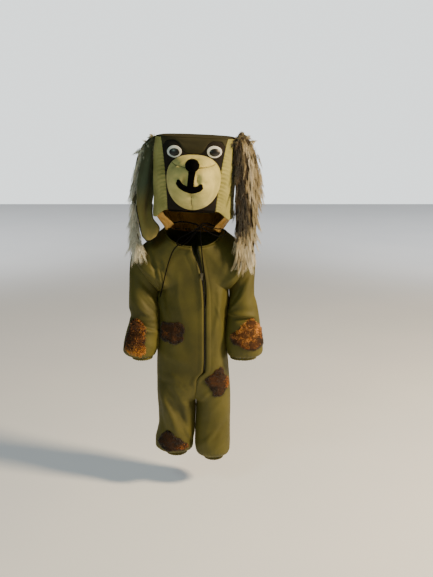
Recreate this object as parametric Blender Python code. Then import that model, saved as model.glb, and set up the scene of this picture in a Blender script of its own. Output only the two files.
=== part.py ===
"""Dog costume: a loose jumpsuit with dropped shoulders and a foam-backed dog hood with long ears.

Metres, +Z up, the front faces -Y. Heights in the tables are above the wearer's floor. The finished
pieces are lowered by NECK_HEIGHT, so that the origin is the middle of the neck, where it is held.
"""
import math

import bmesh
import bpy
from mathutils import Matrix, Vector

# Driving sizes, in metres
NECK_HEIGHT = 0.80
CLOTH = 0.0015
FOAM = 0.0030
FUR_PILE = 0.0120
FELT = 0.0015
HALF_SEAM = 0.0002
LIFT = 0.0006
PATCH_LIFT = 0.0016
SLEEVE_SEAM = 0.0004
CASING_HEIGHT = 0.0080
BINDING_RADIUS = 0.0018
CORD_DIAMETER = 0.0036
ZIP_TAPE_WIDTH = 0.0022
ZIP_TAPE_THICK = 0.0010
SLIDER_SIZE = (0.0080, 0.0035, 0.0100)
TAB_SIZE = (0.0056, 0.0012, 0.0180)

# Counts
PANEL_COLUMNS = 10
SLEEVE_COLUMNS = 16

# Row numbers of a suit panel, from the ankle hem (0) to the shoulder seam, and the rows it is built at
PANEL_ROWS = 24
CROTCH_ROW = 7
FRONT_ROW = 10
ARMPIT_ROW = 17
NECK_ROW = 19
BUILT_ROWS = (0, 1, 2, 3.2, 4.3, 5.5, 7, 8, 9, 10, 10.4, 10.9, 12.4, 14, 15.5, 17, 18, 19, 20, 21, 22, 23, 24)

# Colours, linear, of the plain materials
OLIVE = (0.105, 0.086, 0.022)
DARK_OLIVE = (0.034, 0.030, 0.014)
SAGE = (0.300, 0.260, 0.120)
BROWN = (0.030, 0.014, 0.008)
TAN = (0.330, 0.170, 0.050)
BLACK = (0.006, 0.006, 0.007)
WHITE = (0.700, 0.720, 0.730)
PLUSH = (0.160, 0.055, 0.016)
FUR = (0.200, 0.140, 0.075)
METAL = (0.450, 0.430, 0.380)


class Table:
    """A short table with named columns; the first column is the one it is read by."""

    def __init__(self, names, rows):
        self.names = names
        self.rows = rows

    def at(self, name, key):
        """Value of a column at key, on a smooth curve through the rows that doesn't overshoot."""
        column = self.names.index(name)
        keys = [row[0] for row in self.rows]
        values = [row[column] for row in self.rows]
        if key <= keys[0]:
            return values[0]
        if key >= keys[-1]:
            return values[-1]
        i = max(k for k in range(len(keys) - 1) if keys[k] <= key)
        step = keys[i + 1] - keys[i]
        s = (key - keys[i]) / step
        m0 = self.slope(keys, values, i) * step
        m1 = self.slope(keys, values, i + 1) * step
        a = values[i] * (2 * s**3 - 3 * s**2 + 1) + m0 * (s**3 - 2 * s**2 + s)
        return a + values[i + 1] * (3 * s**2 - 2 * s**3) + m1 * (s**3 - s**2)

    @staticmethod
    def slope(keys, values, i):
        if i == 0 or i == len(keys) - 1:
            return 0.0
        before = (values[i] - values[i - 1]) / (keys[i] - keys[i - 1])
        after = (values[i + 1] - values[i]) / (keys[i + 1] - keys[i])
        if before * after <= 0:
            return 0.0
        return 2 * before * after / (before + after)


# Half of the suit: distance of the side seam and the inner leg from x = 0, and half depths
LEFT = Table(("z", "side", "inner", "front", "back"), (
    (0.1145, 0.0910, 0.0267, 0.036, 0.036),
    (0.1230, 0.1130, 0.0120, 0.052, 0.050),
    (0.1370, 0.1260, 0.0065, 0.061, 0.058),
    (0.1580, 0.1260, 0.0045, 0.063, 0.060),
    (0.1800, 0.1210, 0.0012, 0.062, 0.060),
    (0.2150, 0.1145, -0.0005, 0.062, 0.061),
    (0.2500, 0.1150, -0.0018, 0.064, 0.065),
    (0.2900, 0.1170, -0.0026, 0.069, 0.071),
    (0.3780, 0.1180, -0.0030, 0.079, 0.083),
    (0.4500, 0.1160, -0.0030, 0.082, 0.084),
    (0.5200, 0.1120, -0.0030, 0.081, 0.079),
    (0.6000, 0.1085, -0.0030, 0.079, 0.074),
    (0.6400, 0.1080, -0.0030, 0.078, 0.074),
    (0.7000, 0.1080, -0.0030, 0.077, 0.074)))
RIGHT = Table(("z", "side", "inner", "front", "back"), (
    (0.0985, 0.0886, 0.0283, 0.035, 0.035),
    (0.1070, 0.1020, 0.0100, 0.050, 0.048),
    (0.1215, 0.1100, 0.0015, 0.060, 0.056),
    (0.1450, 0.1115, -0.0012, 0.063, 0.060),
    (0.1800, 0.1110, 0.0000, 0.062, 0.060),
    (0.2150, 0.1110, 0.0017, 0.062, 0.061),
    (0.2500, 0.1120, 0.0030, 0.064, 0.065),
    (0.2900, 0.1120, 0.0034, 0.069, 0.071),
    (0.3780, 0.1070, 0.0030, 0.079, 0.083),
    (0.4200, 0.1040, 0.0030, 0.081, 0.084),
    (0.4650, 0.0995, 0.0030, 0.082, 0.083),
    (0.5400, 0.0995, 0.0030, 0.081, 0.079),
    (0.6000, 0.1040, 0.0030, 0.079, 0.074),
    (0.6400, 0.1055, 0.0030, 0.078, 0.074),
    (0.7000, 0.1055, 0.0030, 0.077, 0.074)))
HALVES = {-1: LEFT, 1: RIGHT}

# Centre front line, pulled to one side along the zip, and half of the gap that the zip fills
CENTRE = Table(("z", "x", "gap"), (
    (0.2850, 0.0030, 0.0003),
    (0.3600, 0.0060, 0.0003),
    (0.3780, 0.0120, 0.0006),
    (0.3980, 0.0300, 0.0030),
    (0.4500, 0.0325, 0.0030),
    (0.6000, 0.0325, 0.0030),
    (0.6600, 0.0295, 0.0030),
    (0.6980, 0.0245, 0.0030),
    (0.7400, 0.0150, 0.0060),
    (0.7785, 0.0045, 0.0095)))
ZIP_BOTTOM = 0.4000
ZIP_SLIDER = 0.6980

# Armpit and shoulder point of each half, and the neck
ARMPIT = {-1: Vector((-0.1080, 0.0, 0.637)), 1: Vector((0.1055, 0.0, 0.640))}
SHOULDER = {-1: Vector((-0.1900, 0.0, 0.748)), 1: Vector((0.1860, 0.0, 0.746))}
ARMHOLE_DEPTH = 0.045
NECK_POINT = {-1: (0.0900, 0.829), 1: (0.0870, 0.827)}
NECK_FRONT_Z = 0.7785
NECK_BACK_Z = 0.8120
NECK_FRONT_DEPTH = 0.073
NECK_BACK_DEPTH = 0.068

# Largest folds of the body, from one end to the other: height is outward, negative is a trough
FOLDS = Table(("x0", "z0", "x1", "z1", "width", "height"), (
    (-0.150, 0.735, -0.075, 0.640, 0.014, 0.0050),
    (-0.125, 0.700, -0.070, 0.600, 0.012, -0.0040),
    (0.140, 0.715, 0.080, 0.640, 0.014, 0.0040),
    (0.085, 0.640, 0.078, 0.520, 0.012, 0.0030),
    (-0.108, 0.285, -0.050, 0.190, 0.016, 0.0055),
    (-0.085, 0.305, -0.028, 0.215, 0.013, -0.0050),
    (-0.075, 0.380, -0.010, 0.330, 0.014, 0.0035),
    (0.080, 0.300, 0.030, 0.215, 0.018, -0.0025),
    (0.095, 0.180, 0.020, 0.150, 0.014, 0.0030),
    (-0.060, 0.560, -0.020, 0.450, 0.020, -0.0025)))

# Sleeve rings: outer and inner side from x = 0, half depth, middle of the depth, gather height
SLEEVE_COLUMN_NAMES = ("row", "outer_x", "outer_z", "inner_x", "inner_z", "depth", "mid_y", "gather")
LEFT_SLEEVE = Table(SLEEVE_COLUMN_NAMES, (
    (0, 0.1900, 0.748, 0.1080, 0.637, 0.045, 0.000, 0.0),
    (1, 0.1955, 0.722, 0.1100, 0.618, 0.046, 0.000, 0.0),
    (2, 0.1975, 0.690, 0.1095, 0.600, 0.047, -0.008, 0.0),
    (3, 0.1980, 0.655, 0.1088, 0.585, 0.047, -0.015, 0.0),
    (4, 0.1990, 0.620, 0.1085, 0.570, 0.046, -0.021, 0.0),
    (5, 0.2000, 0.590, 0.1095, 0.555, 0.045, -0.022, 0.0),
    (6, 0.1945, 0.565, 0.1092, 0.535, 0.042, -0.027, 0.0),
    (7, 0.1990, 0.543, 0.1090, 0.515, 0.046, -0.029, 0.0),
    (8, 0.2090, 0.512, 0.1100, 0.490, 0.049, -0.030, 0.0),
    (9, 0.2165, 0.475, 0.1135, 0.465, 0.051, -0.030, 0.0006),
    (10, 0.2180, 0.455, 0.1175, 0.453, 0.049, -0.030, 0.0012),
    (11, 0.2080, 0.442, 0.1230, 0.442, 0.043, -0.030, 0.0018),
    (12, 0.1910, 0.4355, 0.1300, 0.4355, 0.034, -0.030, 0.0018)))
RIGHT_SLEEVE = Table(SLEEVE_COLUMN_NAMES, (
    (0, 0.1860, 0.746, 0.1055, 0.640, 0.045, 0.000, 0.0),
    (1, 0.1865, 0.720, 0.1070, 0.621, 0.046, 0.000, 0.0),
    (2, 0.1855, 0.690, 0.1052, 0.604, 0.047, -0.008, 0.0),
    (3, 0.1835, 0.655, 0.1038, 0.589, 0.047, -0.015, 0.0),
    (4, 0.1835, 0.630, 0.1022, 0.575, 0.045, -0.019, 0.0),
    (5, 0.1910, 0.600, 0.1012, 0.555, 0.046, -0.020, 0.0),
    (6, 0.1965, 0.570, 0.0992, 0.535, 0.047, -0.026, 0.0),
    (7, 0.2005, 0.541, 0.0985, 0.512, 0.048, -0.029, 0.0),
    (8, 0.2045, 0.510, 0.0987, 0.490, 0.050, -0.030, 0.0),
    (9, 0.2090, 0.478, 0.0995, 0.467, 0.051, -0.030, 0.0006),
    (10, 0.2095, 0.456, 0.1010, 0.455, 0.049, -0.030, 0.0012),
    (11, 0.2030, 0.442, 0.1050, 0.4425, 0.043, -0.030, 0.0018),
    (12, 0.1900, 0.4355, 0.1110, 0.4355, 0.034, -0.030, 0.0018)))
SLEEVES = {-1: LEFT_SLEEVE, 1: RIGHT_SLEEVE}
# Sleeve folds: row, turn from the outer side in degrees, width in rows and degrees, height
SLEEVE_FOLDS = {-1: ((6.9, 70, 0.8, 75, 0.0040), (5.9, 100, 0.7, 50, -0.0035), (3.0, 120, 1.3, 25, -0.0030)),
                1: ((4.6, 50, 0.8, 60, 0.0045), (5.8, 80, 0.8, 50, -0.0035), (2.6, 115, 1.3, 25, -0.0030))}

# Hood: half width, half depth to the front and to the back at each height, in the hood's own frame
HOOD_PLACE = (0.0050, 0.0, 1.000)
HOOD_YAW = math.radians(-2.5)
HOOD_ROLL = math.radians(2.3)
HOOD_POWER = 3.4
HOOD = Table(("z", "half", "front", "back"), (
    (0.866, 0.1190, 0.1180, 0.100),
    (0.890, 0.1165, 0.1170, 0.103),
    (0.930, 0.1170, 0.1165, 0.106),
    (1.000, 0.1200, 0.1160, 0.108),
    (1.060, 0.1200, 0.1150, 0.104),
    (1.098, 0.1165, 0.1120, 0.098)))
HOOD_TOP = 1.0980
MASK_BOTTOM = 0.8930
BRIM = 0.8660
CHEEK_TURN = -22
MASK_ROWS = 7
FOREHEAD_ROWS = 2
# Half width of the mask at each height, and the lower edge of the forehead at each distance
MASK = Table(("z", "half"), (
    (0.866, 0.0680),
    (0.893, 0.0690),
    (0.950, 0.0740),
    (1.020, 0.0820),
    (1.080, 0.0920),
    (1.098, 0.0960)))
FOREHEAD = Table(("x", "z"), (
    (0.000, 1.0520),
    (0.020, 1.0540),
    (0.032, 1.0620),
    (0.043, 1.0830),
    (0.055, 1.0905),
    (0.076, 1.0895),
    (0.094, 1.0760)))
TOP_DOME = 0.0040

# Muzzle, in the hood's frame
MUZZLE_X = 0.0035
MUZZLE_Z = 0.9860
MUZZLE_HALF = 0.0775
MUZZLE_UP = 0.0660
MUZZLE_DOWN = 0.0900
MUZZLE_DEPTH = 0.0980
MUZZLE_WALL = 0.0060
MUZZLE_COLUMNS = 10
NOSE_X = 0.0050
NOSE_Z = 1.0210
NOSE_RADIUS = 0.0195
NOSE_DEPTH = 0.0260
SEAM_TURNS = (8, 172, 270)
EYE_MIDDLE = 0.0025
EYE_SPREAD = 0.0570
EYE_Z = {-1: 1.0580, 1: 1.0610}
EYE_HALF = (0.0215, 0.0176)
PUPIL_HALF = (0.0150, 0.0112)
SMILE = Table(("x", "z"), (
    (-0.0350, 0.9840),
    (-0.0260, 0.9720),
    (-0.0110, 0.9640),
    (0.0060, 0.9610),
    (0.0230, 0.9640),
    (0.0350, 0.9730)))
SMILE_HALF = 0.0085
STRIP_HALF = 0.0085

# Gathered neck section of the hood
FUNNEL_OPEN = (38, 127)
FUNNEL_PLEATS = 14


def wave(x, x0, x1):
    """0 before x0, 1 after x1, smooth between."""
    s = min(1.0, max(0.0, (x - x0) / (x1 - x0)))
    return s * s * (3 - 2 * s)


def power(value, exponent):
    """Power that keeps the sign."""
    return math.copysign(abs(value) ** exponent, value)


def polar_turn(degrees):
    angle = math.radians(degrees)
    return math.cos(angle), math.sin(angle)


def clear_scene():
    for old in list(bpy.data.objects):
        bpy.data.objects.remove(old, do_unlink=True)


def make_material(name, colour, roughness, metallic=0.0):
    material = bpy.data.materials.get(name)
    if material is None:
        material = bpy.data.materials.new(name)
        material.use_nodes = True
        shader = material.node_tree.nodes["Principled BSDF"]
        shader.inputs["Base Color"].default_value = (*colour, 1.0)
        shader.inputs["Roughness"].default_value = roughness
        shader.inputs["Metallic"].default_value = metallic
    return material


def finish_object(name, mesh_data, colour, roughness=0.8, metallic=0.0):
    """Close a bmesh into an object of its own, lowered to the neck's frame."""
    bmesh.ops.recalc_face_normals(mesh_data, faces=mesh_data.faces)
    mesh = bpy.data.meshes.new(name)
    mesh_data.to_mesh(mesh)
    mesh_data.free()
    mesh.transform(Matrix.Translation((0.0, 0.0, -NECK_HEIGHT)))
    mesh.materials.append(make_material(name, colour, roughness, metallic))
    item = bpy.data.objects.new(name, mesh)
    bpy.context.scene.collection.objects.link(item)
    return item


def solid_between(name, outer, inner, faces, colour, roughness=0.8):
    """Closed wall between two sheets of points that share one set of faces."""
    data = bmesh.new()
    top = [data.verts.new(p) for p in outer]
    bottom = [data.verts.new(p) for p in inner]
    uses = {}
    for face in faces:
        data.faces.new([top[i] for i in face])
        data.faces.new([bottom[i] for i in reversed(face)])
        for a, b in zip(face, face[1:] + face[:1]):
            uses.setdefault(frozenset((a, b)), []).append((a, b))
    for pairs in uses.values():
        if len(pairs) == 1:
            a, b = pairs[0]
            data.faces.new((top[b], top[a], bottom[a], bottom[b]))
    return finish_object(name, data, colour, roughness)


def grid_faces(columns, rows, closed=False):
    """Quads of a grid; point number is row * width + column."""
    width = columns if closed else columns + 1
    quads = []
    for j in range(rows):
        for i in range(columns):
            k = (i + 1) % width
            quads.append((j * width + i, j * width + k, (j + 1) * width + k, (j + 1) * width + i))
    return quads


def normal_of(surface, u, v, outward):
    """Unit normal of a surface function, on the side of the outward hint."""
    e = 0.004
    du = surface(u + e, v) - surface(u - e, v)
    dv = surface(u, v + e) - surface(u, v - e)
    normal = du.cross(dv)
    if normal.length < 1e-12:
        return outward.normalized()
    normal.normalize()
    return normal if normal.dot(outward) >= 0 else -normal


def in_plane(normal, axis):
    """The normal without its part along a seam's axis."""
    flat = normal - axis * normal.dot(axis)
    return flat.normalized() if flat.length > 0.2 else normal


# Suit

def row_heights(side, face, row):
    """Heights of the side end and the inner end of a row."""
    hem = HALVES[side].rows[0][0]
    armpit = ARMPIT[side].z
    inner_top = 0.700 if face < 0 else 0.740
    neck_z = NECK_FRONT_Z if face < 0 else NECK_BACK_Z
    heights = Table(("row", "side", "inner"), (
        (0, hem, hem),
        (1, hem + 0.011, hem + 0.011),
        (2, hem + 0.026, hem + 0.026),
        (3.5, 0.167, 0.167),
        (CROTCH_ROW, 0.290, 0.285),
        (8.5, 0.325, 0.303),
        (FRONT_ROW, 0.360, 0.360),
        (ARMPIT_ROW, armpit, inner_top),
        (NECK_ROW, armpit, neck_z)))
    return heights.at("side", row), heights.at("inner", row)


def fold_height(x, z):
    """Sum of the body's folds at a point of the front."""
    total = 0.0
    for x0, z0, x1, z1, width, height in FOLDS.rows:
        along_x, along_z = x1 - x0, z1 - z0
        length = math.hypot(along_x, along_z)
        along = ((x - x0) * along_x + (z - z0) * along_z) / length
        across = ((x - x0) * along_z - (z - z0) * along_x) / length
        ends = wave(along, -0.02, 0.02) * (1 - wave(along, length - 0.02, length + 0.02))
        total += height * ends * math.exp(-(across / width) ** 2)
    return total


def suit_point(side, face, u, row, crests=False):
    """Point of a suit panel: side -1 left, face -1 front, u 0 centre or inner leg, u 1 side seam.

    With crests it is the smooth surface that touches the gathers' crests, for what lies on them.
    """
    table = HALVES[side]
    side_z, inner_z = row_heights(side, face, row)
    if row > ARMPIT_ROW:
        s = min(1.0, (row - ARMPIT_ROW) / (PANEL_ROWS - ARMPIT_ROW))
        climb = (1 - math.cos(math.pi * s)) / 2
        edge = ARMPIT[side].lerp(SHOULDER[side], climb)
        side_x, side_z = abs(edge.x), edge.z
        bulge = ARMHOLE_DEPTH * math.sin(math.pi * s)
    else:
        side_x, bulge = table.at("side", side_z), 0.0
    if row <= CROTCH_ROW:
        turn, inner_x = 180.0, table.at("inner", inner_z)
    else:
        turn = 180.0 - 90.0 * min(1.0, (row - CROTCH_ROW) / (FRONT_ROW - CROTCH_ROW))
        if face < 0:
            inner_x = side * CENTRE.at("x", inner_z) + CENTRE.at("gap", inner_z)
        else:
            inner_x = side * 0.0030 + 0.0003
    depth = table.at("front" if face < 0 else "back", 0.5 * (side_z + inner_z))
    if row > NECK_ROW:
        s = min(1.0, (row - NECK_ROW) / (PANEL_ROWS - NECK_ROW))
        across, down = math.sin(math.pi / 2 * s), math.cos(math.pi / 2 * s)
        neck_x, neck_z = NECK_POINT[side]
        bottom_z = NECK_FRONT_Z if face < 0 else NECK_BACK_Z
        inner_x += (neck_x - inner_x) * across
        inner_z = bottom_z + (neck_z - bottom_z) * (1 - down)
        depth = (NECK_FRONT_DEPTH if face < 0 else NECK_BACK_DEPTH) * down
    elif row > ARMPIT_ROW:
        neck_depth = NECK_FRONT_DEPTH if face < 0 else NECK_BACK_DEPTH
        depth += (neck_depth - depth) * (row - ARMPIT_ROW) / (NECK_ROW - ARMPIT_ROW)
    cos_turn, sin_turn = polar_turn(turn * (1 - u))
    half = (side_x - inner_x) / (1 - power(math.cos(math.radians(turn)), 0.87))
    middle = side_x - half
    x = middle + half * power(cos_turn, 0.87)
    y = depth * power(sin_turn, 0.87) + bulge * cos_turn**2
    reach = min(1.0, max(0.0, (x - inner_x) / max(1e-6, side_x - inner_x)))
    z = inner_z + (side_z - inner_z) * reach
    if face < 0:
        y += fold_height(side * x, z) * (1 - u**6) * (1 - (1 - u) ** 8 if turn > 90 else 1)
    hem = table.rows[0][0]
    beat = 1.0 if crests else math.cos(math.pi * PANEL_COLUMNS * u)
    gather = 0.0018 * (1 - wave(z, hem + 0.004, hem + 0.045)) * beat
    away = Vector((x - middle, y, 0.0))
    if gather and away.length > 1e-6:
        away.normalize()
        x += gather * away.x
        y += gather * away.y
    return Vector((side * x, face * y + face * HALF_SEAM, z))


def armhole_axis(side):
    """Direction out of the body at the armhole, square to its plane."""
    rise = SHOULDER[side] - ARMPIT[side]
    axis = Vector((abs(rise.z) * side, 0.0, -abs(rise.x)))
    return axis.normalized()


def suit_normal(side, face, u, row):
    """Outward normal; along a seam it stays in the seam's plane, so that the walls meet squarely."""
    near = suit_point(side, face, u, row)
    centre_x = side * 0.055 if row <= CROTCH_ROW + 1 else 0.0
    outward = Vector((near.x - centre_x, near.y, 0.03 if row > NECK_ROW else 0.0))
    normal = normal_of(lambda a, b: suit_point(side, face, a, b * 2), u, row / 2, outward)
    if u == 1 and row > ARMPIT_ROW:
        return in_plane(normal, armhole_axis(side))
    if u == 1 or (u == 0 and row <= CROTCH_ROW) or row == PANEL_ROWS:
        return in_plane(normal, Vector((0, 1, 0)))
    if u == 0 and row <= NECK_ROW:
        return in_plane(normal, Vector((1, 0, 0)))
    if row == 0:
        return in_plane(normal, Vector((0, 0, 1)))
    return normal


def suit_panel(name, side, face):
    outer, inner = [], []
    for row in BUILT_ROWS:
        for column in range(PANEL_COLUMNS + 1):
            u = column / PANEL_COLUMNS
            point = suit_point(side, face, u, row)
            outer.append(point)
            inner.append(point - suit_normal(side, face, u, row) * CLOTH)
    return solid_between(name, outer, inner, grid_faces(PANEL_COLUMNS, len(BUILT_ROWS) - 1), OLIVE)


def sleeve_point(side, turn, row, crests=False):
    """Point of a sleeve; turn 0 is its outer side, 90 its front, in degrees."""
    table = SLEEVES[side]
    outer = Vector((side * table.at("outer_x", row), 0.0, table.at("outer_z", row)))
    inner = Vector((side * table.at("inner_x", row), 0.0, table.at("inner_z", row)))
    cos_turn, sin_turn = polar_turn(turn)
    depth = table.at("depth", row)
    for at_row, at_turn, rows, turns, height in SLEEVE_FOLDS[side]:
        away = ((row - at_row) / rows) ** 2 + (((turn - at_turn + 180) % 360 - 180) / turns) ** 2
        depth += height * math.exp(-away)
    beat = 1.0 if crests else math.cos(math.radians(turn) * SLEEVE_COLUMNS / 2)
    gather = table.at("gather", row) * beat
    swell = 1 + gather / 0.04
    middle = (outer + inner) / 2
    point = middle + (outer - inner) / 2 * cos_turn * swell
    point.y = table.at("mid_y", row) - depth * sin_turn * swell
    if row < 1:
        point += armhole_axis(side) * SLEEVE_SEAM * (1 - row)
    return point


def sleeve_normal(side, turn, row):
    table = SLEEVES[side]
    middle = Vector((side * (table.at("outer_x", row) + table.at("inner_x", row)) / 2,
                     table.at("mid_y", row), (table.at("outer_z", row) + table.at("inner_z", row)) / 2))
    outward = sleeve_point(side, turn, row) - middle
    normal = normal_of(lambda a, b: sleeve_point(side, a * 400, b * 2), turn / 400, row / 2, outward)
    if row == 0:
        return in_plane(normal, armhole_axis(side))
    return normal


def sleeve(name, side):
    rows = len(SLEEVES[side].rows) - 1
    outer, inner = [], []
    for row in range(rows + 1):
        for column in range(SLEEVE_COLUMNS):
            turn = 360 * column / SLEEVE_COLUMNS
            point = sleeve_point(side, turn, row)
            outer.append(point)
            inner.append(point - sleeve_normal(side, turn, row) * CLOTH)
    return solid_between(name, outer, inner, grid_faces(SLEEVE_COLUMNS, rows, True), OLIVE)


def casing(name, centre, half_x, half_y, top):
    """Elastic casing under a gathered edge: a short ring with small gathers."""
    columns = 20
    outer, inner = [], []
    for level, swell in ((top, 0.0), (top - CASING_HEIGHT, 0.0004)):
        for column in range(columns):
            cos_turn, sin_turn = polar_turn(360 * column / columns)
            gather = 0.0010 * (-1) ** column + swell
            outward = Vector((cos_turn, -sin_turn, 0.0))
            place = Vector((centre[0] + half_x * cos_turn, centre[1] - half_y * sin_turn, level))
            outer.append(place + outward * gather)
            inner.append(place + outward * (gather - CLOTH * 1.4))
    return solid_between(name, outer, inner, grid_faces(columns, 1, True), OLIVE)


def neck_binding():
    """Narrow rolled binding on the neckline, open at the zip; its points follow the panels' edges."""
    rows = [row for row in BUILT_ROWS if row >= NECK_ROW]
    legs = ((-1, -1, rows), (-1, 1, rows[-2::-1]), (1, 1, rows[1:]), (1, -1, rows[-2::-1]))
    edge = [(side, face, row) for side, face, run in legs for row in run]
    places = [suit_point(side, face, 0.0, row) for side, face, row in edge]
    centres = []
    for number, (side, face, row) in enumerate(edge):
        before = places[max(0, number - 1)]
        after = places[min(len(places) - 1, number + 1)]
        normal = suit_normal(side, face, 0.0, max(row, NECK_ROW + 0.01))
        across = (after - before).normalized().cross(normal).normalized()
        if across.z - across.xy.dot(places[number].xy) < 0:
            across = -across
        centres.append(places[number] - normal * CLOTH / 2 + across * (BINDING_RADIUS + 0.0008))
    return tube_through("neckline_binding", centres, BINDING_RADIUS, 6, OLIVE)


def tube_through(name, centres, radius, sides, colour, roughness=0.8):
    """Plain tube with flat ends along a run of points."""
    data = bmesh.new()
    loops = []
    for number, centre in enumerate(centres):
        before = centres[max(0, number - 1)]
        after = centres[min(len(centres) - 1, number + 1)]
        along = (after - before).normalized()
        across = along.cross(Vector((0, 0, 1)))
        if across.length < 0.1:
            across = along.cross(Vector((1, 0, 0)))
        across.normalize()
        other = along.cross(across)
        loop = []
        for k in range(sides):
            cos_turn, sin_turn = polar_turn(360 * k / sides)
            loop.append(data.verts.new(centre + (across * cos_turn + other * sin_turn) * radius))
        loops.append(loop)
    for near, far in zip(loops, loops[1:]):
        for k in range(sides):
            m = (k + 1) % sides
            data.faces.new((near[k], near[m], far[m], far[k]))
    data.faces.new(loops[0])
    data.faces.new(loops[-1])
    return finish_object(name, data, colour, roughness)


def zip_tape(name, side):
    """Tape of the zip along the edge of its front panel, set back a little."""
    outer, inner = [], []
    rows = [row for row in BUILT_ROWS if row <= NECK_ROW]
    rows = [row for row in rows if row_heights(side, -1, row)[1] >= ZIP_BOTTOM]
    for row in rows:
        edge = suit_point(side, -1, 0.0, row)
        for step in (0.0003, 0.0003 + ZIP_TAPE_WIDTH):
            outer.append(Vector((edge.x - side * step, edge.y + 0.0004, edge.z)))
            inner.append(Vector((edge.x - side * step, edge.y + 0.0004 + ZIP_TAPE_THICK, edge.z)))
    return solid_between(name, outer, inner, grid_faces(1, len(rows) - 1), BLACK)


def box(size, centre):
    """Plain block."""
    data = bmesh.new()
    bmesh.ops.create_cube(data, size=1.0)
    bmesh.ops.scale(data, vec=size, verts=data.verts)
    bmesh.ops.translate(data, vec=centre, verts=data.verts)
    return data


def boolean(target, cutter, operation):
    """Apply an exact Boolean and drop the cutter."""
    step = target.modifiers.new(operation, "BOOLEAN")
    step.operation = operation
    step.solver = "EXACT"
    step.object = cutter
    evaluated = target.evaluated_get(bpy.context.evaluated_depsgraph_get())
    mesh = bpy.data.meshes.new_from_object(evaluated)
    target.modifiers.clear()
    target.data = mesh
    bpy.data.objects.remove(cutter, do_unlink=True)


def slider_place():
    """Middle of the slider's body, in front of the closed zip."""
    x = CENTRE.at("x", ZIP_SLIDER)
    y = min(zip_front_y(ZIP_SLIDER - 0.006), zip_front_y(ZIP_SLIDER + 0.006))
    return Vector((x, y - 0.0006 - SLIDER_SIZE[1] / 2, ZIP_SLIDER))


def zip_front_y(height):
    """Front of the body at the zip, at a height."""
    low, high = 10.0, float(NECK_ROW)
    for step in range(30):
        middle = (low + high) / 2
        if row_heights(1, -1, middle)[1] < height:
            low = middle
        else:
            high = middle
    return suit_point(1, -1, 0.0, low).y


def slider_and_tab():
    """Slider with an open hook at its top, and the pull tab that hangs in it."""
    centre = slider_place()
    front = centre.y - SLIDER_SIZE[1] / 2
    top = centre.z + SLIDER_SIZE[2] / 2
    body = finish_object("zip_slider", box(SLIDER_SIZE, centre), METAL, 0.35, 1.0)
    post = box((0.0022, 0.0034, 0.0016), Vector((centre.x, front - 0.0015, top - 0.0010)))
    boolean(body, finish_object("post", post, METAL), "UNION")
    hook = box((0.0022, 0.0010, 0.0036), Vector((centre.x, front - 0.0028, top - 0.0026)))
    boolean(body, finish_object("hook", hook, METAL), "UNION")
    pivot = Vector((centre.x, front - 0.0012, top - 0.0030))
    plate_centre = pivot + Vector((0.0, 0.0, 0.0006 - TAB_SIZE[2] / 2))
    tab = finish_object("zip_pull_tab", box(TAB_SIZE, plate_centre), METAL, 0.35, 1.0)
    window = box((0.0032, 0.0100, 0.0034), pivot + Vector((0.0, 0.0, -0.0023)))
    boolean(tab, finish_object("window", window, METAL), "DIFFERENCE")
    axis_point = pivot - Vector((0.0, 0.0, NECK_HEIGHT))
    tab.data.transform(Matrix.Translation(-axis_point))
    tab.location = axis_point


# Plush patches

# Middle and scale in the panel's own coordinates, and the circles (x, y, radius) that give the edge.
# On the body x runs from the centre to the side and y up; on a sleeve x turns to the front, y runs down.
BODY_PATCHES = (
    ("patch_hip_left", -1, (0.48, 13.35), (0.255, 0.72), (
        (0.00, 0.00, 0.75),
        (0.50, 0.35, 0.48),
        (0.55, -0.35, 0.42),
        (-0.45, -0.45, 0.50),
        (-0.50, 0.35, 0.50))),
    ("patch_thigh_right", 1, (0.46, 9.85), (0.340, 1.45), (
        (0.00, 0.00, 0.60),
        (-0.55, 0.33, 0.42),
        (0.10, -0.55, 0.45),
        (0.62, -0.05, 0.42),
        (-0.15, 0.55, 0.40))),
    ("patch_ankle_left", -1, (0.52, 3.10), (0.270, 1.55), (
        (0.00, 0.00, 0.55),
        (0.35, 0.15, 0.60),
        (0.38, 0.60, 0.38),
        (-0.55, -0.45, 0.48),
        (0.15, -0.60, 0.42))))
ARM_PATCHES = (
    ("patch_arm_left", -1, (74.0, 8.20), (50.0, 2.30), (
        (0.00, 0.00, 0.60),
        (-0.30, -0.45, 0.55),
        (0.30, 0.55, 0.48),
        (-0.42, 0.20, 0.50),
        (0.12, -0.60, 0.38))),
    ("patch_arm_right", 1, (66.0, 7.75), (72.0, 1.80), (
        (0.00, 0.00, 0.64),
        (0.00, -0.58, 0.42),
        (-0.12, 0.30, 0.65),
        (0.52, -0.04, 0.50),
        (-0.48, 0.26, 0.50))))


def lobed_outline(lobes, turn):
    """Distance from the patch's middle to its edge: the farthest of a few circles' edges."""
    cos_turn, sin_turn = polar_turn(turn)
    far = 0.0
    for x, y, radius in lobes:
        along = x * cos_turn + y * sin_turn
        inside = radius**2 - (x**2 + y**2 - along**2)
        if inside > 0:
            far = max(far, along + math.sqrt(inside))
    return far


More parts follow.
